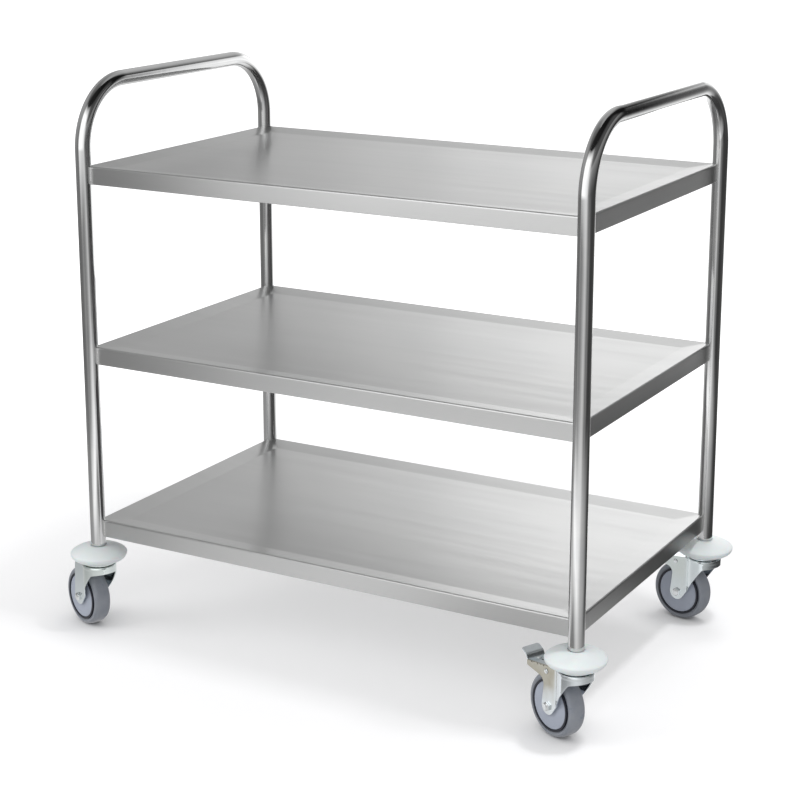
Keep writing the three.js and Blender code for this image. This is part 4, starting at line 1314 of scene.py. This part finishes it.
def brake_pedal():
    """Sloping plate with its fold and tread, and an ear on either side of the pin."""
    fold = -PEDAL_BEHIND
    line = BentLine([
        (PEDAL_AHEAD, PEDAL_FRONT_RISE),
        (fold, pedal_rise(PEDAL_BEHIND)),
        (fold - FOLD_REACH, pedal_rise(PEDAL_BEHIND) + FOLD_RISE),
        (fold - FOLD_REACH - TREAD_REACH, pedal_rise(PEDAL_BEHIND) + FOLD_RISE + TREAD_RISE),
    ], PEDAL_BEND)
    half = PEDAL_WIDTH / 2
    blank = resampled(rounded([
        (0, -half, STRIP_CORNER), (line.length, -half, TREAD_CORNER),
        (line.length, half, TREAD_CORNER), (0, half, STRIP_CORNER),
    ]), PLAN_STEP)
    slot_travel = PEDAL_AHEAD + PEDAL_SLOT_BEHIND
    slot_half = PEDAL_SLOT_LENGTH / 2
    slot_reach = PEDAL_SLOT_WIDTH / 2
    slot = rounded([
        (slot_travel - slot_reach, -slot_half), (slot_travel + slot_reach, -slot_half),
        (slot_travel + slot_reach, slot_half), (slot_travel - slot_reach, slot_half),
    ], slot_reach)
    parts = [strip("plate", line, [blank, slot], PEDAL_SHEET)]
    for side in (-1, 1):
        ear = rounded([
            (-EAR_REACH, -EAR_DROP, EAR_CORNER), (EAR_REACH, -EAR_DROP, EAR_CORNER),
            (EAR_REACH, pedal_rise(-EAR_REACH)), (-EAR_REACH, pedal_rise(EAR_REACH)),
        ])

        def place(x, z, depth, side=side):
            return (PIN_X + x, side * (half - depth), PIN_HEIGHT + z)

        parts.append(sheet("ear", [ear], PEDAL_SHEET, place, EAR_EDGE))
    return joined("brake_pedal", parts)


def shoe_point(angle):
    """A place on the leaf's shoe, lifted from where it meets the tyre to where it rests."""
    behind_top = math.radians(angle)
    lift = math.radians(BRAKE_TRAVEL)
    radius = WHEEL_DIAMETER / 2 + RUNNING_GAP + LEAF_SHEET / 2
    x = -TRAIL - radius * math.sin(behind_top) - PIN_X
    z = AXLE_HEIGHT + radius * math.cos(behind_top) - PIN_HEIGHT
    return (x * math.cos(lift) + z * math.sin(lift), z * math.cos(lift) - x * math.sin(lift))


def brake_leaf():
    """Spring leaf riveted under the pedal, with a curved shoe over the tyre."""
    drop = (PEDAL_SHEET + LEAF_SHEET) / 2 + SEAT_GAP
    corners = [
        (-LEAF_ROOT_BEHIND, pedal_rise(LEAF_ROOT_BEHIND) - drop),
        (-LEAF_BEND_BEHIND, pedal_rise(LEAF_BEND_BEHIND) - drop),
    ]
    for step in range(FINE_STEPS + 1):
        turn = (SHOE_FRONT_ANGLE - SHOE_REAR_ANGLE) * step / FINE_STEPS
        corners.append(shoe_point(SHOE_REAR_ANGLE + turn))
    line = BentLine(corners, LEAF_BEND)
    half = LEAF_WIDTH / 2
    blank = [(0, -half), (line.length, -half), (line.length, half), (0, half)]
    leaf = strip("leaf", line, [resampled(rounded(blank, STRIP_CORNER), PLAN_STEP)], LEAF_SHEET)
    rivet_x = -(LEAF_ROOT_BEHIND + LEAF_BEND_BEHIND) / 2
    seat = PEDAL_SHEET / 2 + SEAT_GAP
    shank, head = LEAF_RIVET_DIAMETER / 2, LEAF_RIVET_HEAD_DIAMETER / 2
    dome = arc((0, seat), (head, LEAF_RIVET_HEAD_HEIGHT), 0, 90)
    matrix = Matrix.Translation((PIN_X + rivet_x, 0, PIN_HEIGHT + pedal_rise(-rivet_x)))
    matrix = matrix @ Matrix.Rotation(-PEDAL_SLOPE, 4, "Y")
    rivet = turned("rivet", [(0, -drop), (shank, -drop), (shank, seat)] + dome, BOLT_SIDES, matrix)
    return joined("brake_leaf", [leaf, rivet])


def pedal_pin():
    shank, head = PIN_DIAMETER / 2, PIN_HEAD_DIAMETER / 2
    upper = [(shank, AXLE_SEAT)] + arc((0, AXLE_SEAT), (head, PIN_HEAD_HEIGHT), 0, 90)
    return turned("pedal_pin", both_halves(upper), BOLT_SIDES, along_axle(PIN_X, PIN_HEIGHT))


# Putting the cart together

FINISHES = {"polished_tube": polished_tube(), "brushed_sheet": brushed_sheet()}
FINISHES.update({name: zinc_plating(name) for name in ZINC_TINTS})
FINISHES.update({name: plain_finish(name) for name in PLAIN_FINISHES})
BODY_OF = {
    node: body
    for body, nodes in frame["record"]["behaviour"]["bodies"].items()
    for node in nodes
}


def dress(node, mesh, finish, matrix=None, crease=SOFT_CREASE):
    """Puts a mesh in place of the CAD node of the same name."""
    slot = "zinc_steel" if finish.endswith("zinc") else finish
    return add_piece(node + ".skin", mesh, FINISHES[finish], slot, BODY_OF[node], [node], matrix, crease)


def build_frames():
    for end in ENDS:
        node = f"{end}_end_frame"
        low, high = box_of(node)
        half = (high.y - low.y) / 2 - TUBE_RADIUS
        mesh = end_frame(node, (low.x + high.x) / 2, half, high.z - TUBE_RADIUS)
        dress(node, mesh, "polished_tube")


def build_shelves():
    posts = [middle_of(f"{corner}_bumper") for corner in CORNERS]
    welds = weld_metal()
    for tier in TIERS:
        node = f"{tier}_shelf"
        low, high = box_of(node)
        dress(node, shelf(node, low, high, posts), "brushed_sheet")
        beads = [bead("bead", weld_path(high.z, post, middle_of(node) - post)) for post in posts]
        name = f"{tier}_shelf_welds"
        add_piece(name, joined(name, beads), welds, "brushed_sheet", BODY_OF[node], [])


def build_casters():
    fixed_shapes = {
        "post_insert": (post_insert(), "bright_steel"),
        "bumper": (bumper(), "bumper_plastic"),
        "swivel_head": (swivel_head(), "zinc_steel"),
        "caster_bolt": (caster_bolt(), "bright_steel"),
    }
    swivel_shapes = {
        "ball_ring": (ball_ring(), "bright_steel"),
        "axle_bolt": (axle_bolt(), "bright_steel"),
        "axle_nut": (axle_nut(), "bright_steel"),
        "wheel_core": (wheel_core(), "core_plastic"),
        "tyre": (tyre(), "tyre_rubber"),
        "front_disc": (wheel_disc(1), "disc_plastic"),
        "rear_disc": (wheel_disc(-1), "disc_plastic"),
    }
    brake_shapes = {
        "brake_pedal": (brake_pedal(), "pedal_zinc"),
        "brake_leaf": (brake_leaf(), "bright_steel"),
        "pedal_pin": (pedal_pin(), "bright_steel"),
    }
    forks = {braked: fork(braked) for braked in (False, True)}
    for corner in CORNERS:
        post = middle_of(f"{corner}_bumper")
        wheel = middle_of(f"{corner}_tyre")
        heading = math.atan2(post.y - wheel.y, post.x - wheel.x)
        standing = Matrix.Translation((post.x, post.y, 0))
        swung = standing @ Matrix.Rotation(heading, 4, "Z")
        braked = f"{corner}_brake_pedal" in frame["nodes"]
        for part, (mesh, finish) in fixed_shapes.items():
            dress(f"{corner}_{part}", mesh, finish, standing)
        tint = "darker_top_zinc" if corner in DARKER_TOP_CORNERS else "zinc_steel"
        swinging = {**swivel_shapes, "fork": (forks[braked], tint), **(brake_shapes if braked else {})}
        for part, (mesh, finish) in swinging.items():
            crease = BOLT_CREASE if part in ("axle_bolt", "axle_nut") else SOFT_CREASE
            dress(f"{corner}_{part}", mesh, finish, swung, crease)


build_frames()
build_shelves()
build_casters()


# Floor, lights and camera

def stand(mesh, recipe):
    """Puts a piece of the studio in the scene. Its glow is seen, but isn't used as a lamp."""
    recipe.owner.cycles.emission_sampling = "NONE"
    mesh.materials.append(recipe.owner)
    made = placed(mesh.name, mesh)
    return made


def set_stage():
    """A pale floor that keeps the cart's shadow and whitens away from it. Its own glow also paints shade:
    it is lower round the cart, and it fades as a painted contact shadow where the cart stands close above
    it.
    """
    recipe = material_recipe("floor")
    recipe.set(Base_Color=(*FLOOR_COLOUR, 1), Roughness=FLOOR_ROUGHNESS, Specular_IOR_Level=0.0)
    away = recipe.vector("LENGTH", recipe.places())
    # painted shade: the floor's own glow is lower round the cart than far from it
    glow = recipe.spread(away, SHADED_NEAR_GLOW, FAR_GLOW, (GLOW_START * MM, GLOW_END * MM))
    # painted contact shadow: the floor's glow dims where the cart stands close above it
    painted_contact_shadow = recipe.node(
        "ShaderNodeAmbientOcclusion", {"samples": SHADE_SAMPLES}, Distance=SHADE_REACH * MM
    )
    glow = recipe.math("MULTIPLY", glow, recipe.spread(painted_contact_shadow.outputs["AO"], 0, 1, SHADE_SPAN))
    glow = recipe.math("MULTIPLY", recipe.looking(), glow)
    recipe.set(Emission_Color=WHITE, Emission_Strength=glow)
    corners = [(x * FLOOR_REACH, y * FLOOR_REACH, 0) for x, y in ((-1, -1), (1, -1), (1, 1), (-1, 1))]
    stand(mesh_of("floor", corners, [(0, 1, 2, 3)]), recipe)


def set_world():
    """White background for what looks straight at it, and plain soft light for the rest."""
    world = bpy.data.worlds.new("studio")
    bpy.context.scene.world = world
    recipe = Recipe(world)
    soft = recipe.tree.nodes["Background"]
    recipe.connect(WHITE, soft.inputs["Color"])
    recipe.connect(WORLD_STRENGTH, soft.inputs["Strength"])
    white = recipe.node("ShaderNodeBackground", Color=WHITE)
    mix = recipe.fed("ShaderNodeMixShader", {}, recipe.looking(), soft.outputs[0], white.outputs[0])
    recipe.connect(mix.outputs[0], recipe.tree.nodes["World Output"].inputs["Surface"])


def shade_at(stops, azimuth):
    """Brightness at an azimuth, eased between stops of (azimuth, brightness)."""
    azimuth = (azimuth + 180) % 360 - 180
    for (start, first), (end, last) in zip(stops, stops[1:]):
        if start <= azimuth <= end:
            share = (azimuth - start) / (end - start)
            share = share * share * (3 - 2 * share)
            return first + (last - first) * share
    return stops[-1][1]


def set_screens():
    """The studio that the metal mirrors: screens, flags and floor, seen by glossy rays alone."""
    vertices, glows = [], []
    for reach_x, reach_y, height, stops in SCREENS:
        for step in range(SCREEN_STEPS):
            angle = 2 * math.pi * step / SCREEN_STEPS
            vertices.append((reach_x * math.sin(angle), -reach_y * math.cos(angle), height))
            glows.append(shade_at(stops, 360 * step / SCREEN_STEPS))
    mesh = bpy.data.meshes.new("screens")
    faces = ring_faces(len(SCREENS), SCREEN_STEPS)
    mesh.from_pydata([Vector(vertex) * MM for vertex in vertices], [], faces)
    mesh.attributes.new("glow", "FLOAT", "POINT").data.foreach_set("value", glows)
    recipe = material_recipe("screens")
    glow = recipe.node("ShaderNodeAttribute", {"attribute_name": "glow"}).outputs["Fac"]
    recipe.set(Base_Color=BLACK, Roughness=1.0, Specular_IOR_Level=0.0)
    recipe.set(Emission_Color=WHITE, Emission_Strength=glow)
    screens = stand(mesh, recipe)
    for kind in ("camera", "diffuse", "transmission", "volume_scatter", "shadow"):
        setattr(screens, f"visible_{kind}", False)


def set_lamp(name, place, size, power):
    lamp = bpy.data.lights.new(name, "AREA")
    lamp.size = size * MM
    lamp.energy = power
    holder = placed(name, lamp)
    holder.location = Vector(place) * MM
    aim = Vector(LAMP_TARGET) - Vector(place)
    holder.rotation_euler = aim.to_track_quat("-Z", "Y").to_euler()
    holder.visible_glossy = False
    holder.visible_camera = False


def set_camera():
    camera = bpy.data.cameras.new("camera")
    camera.sensor_width = SENSOR_WIDTH
    camera.lens = LENS
    camera.shift_y = (PRINCIPAL_ROW - IMAGE_WIDTH / 2) / IMAGE_WIDTH
    camera.clip_end = CLIP_END * MM
    holder = placed("camera", camera)
    holder.location = Vector(CAMERA_PLACE) * MM
    pitch = math.radians(90 - CAMERA_PITCH)
    holder.rotation_euler = (pitch, 0, math.radians(CAMERA_YAW))
    bpy.context.scene.camera = holder


set_stage()
set_world()
set_screens()
for lamp_name, (lamp_place, lamp_size, lamp_power) in LAMPS.items():
    set_lamp(lamp_name, lamp_place, lamp_size, lamp_power)
set_camera()
bpy.context.scene.view_settings.view_transform = "Standard"
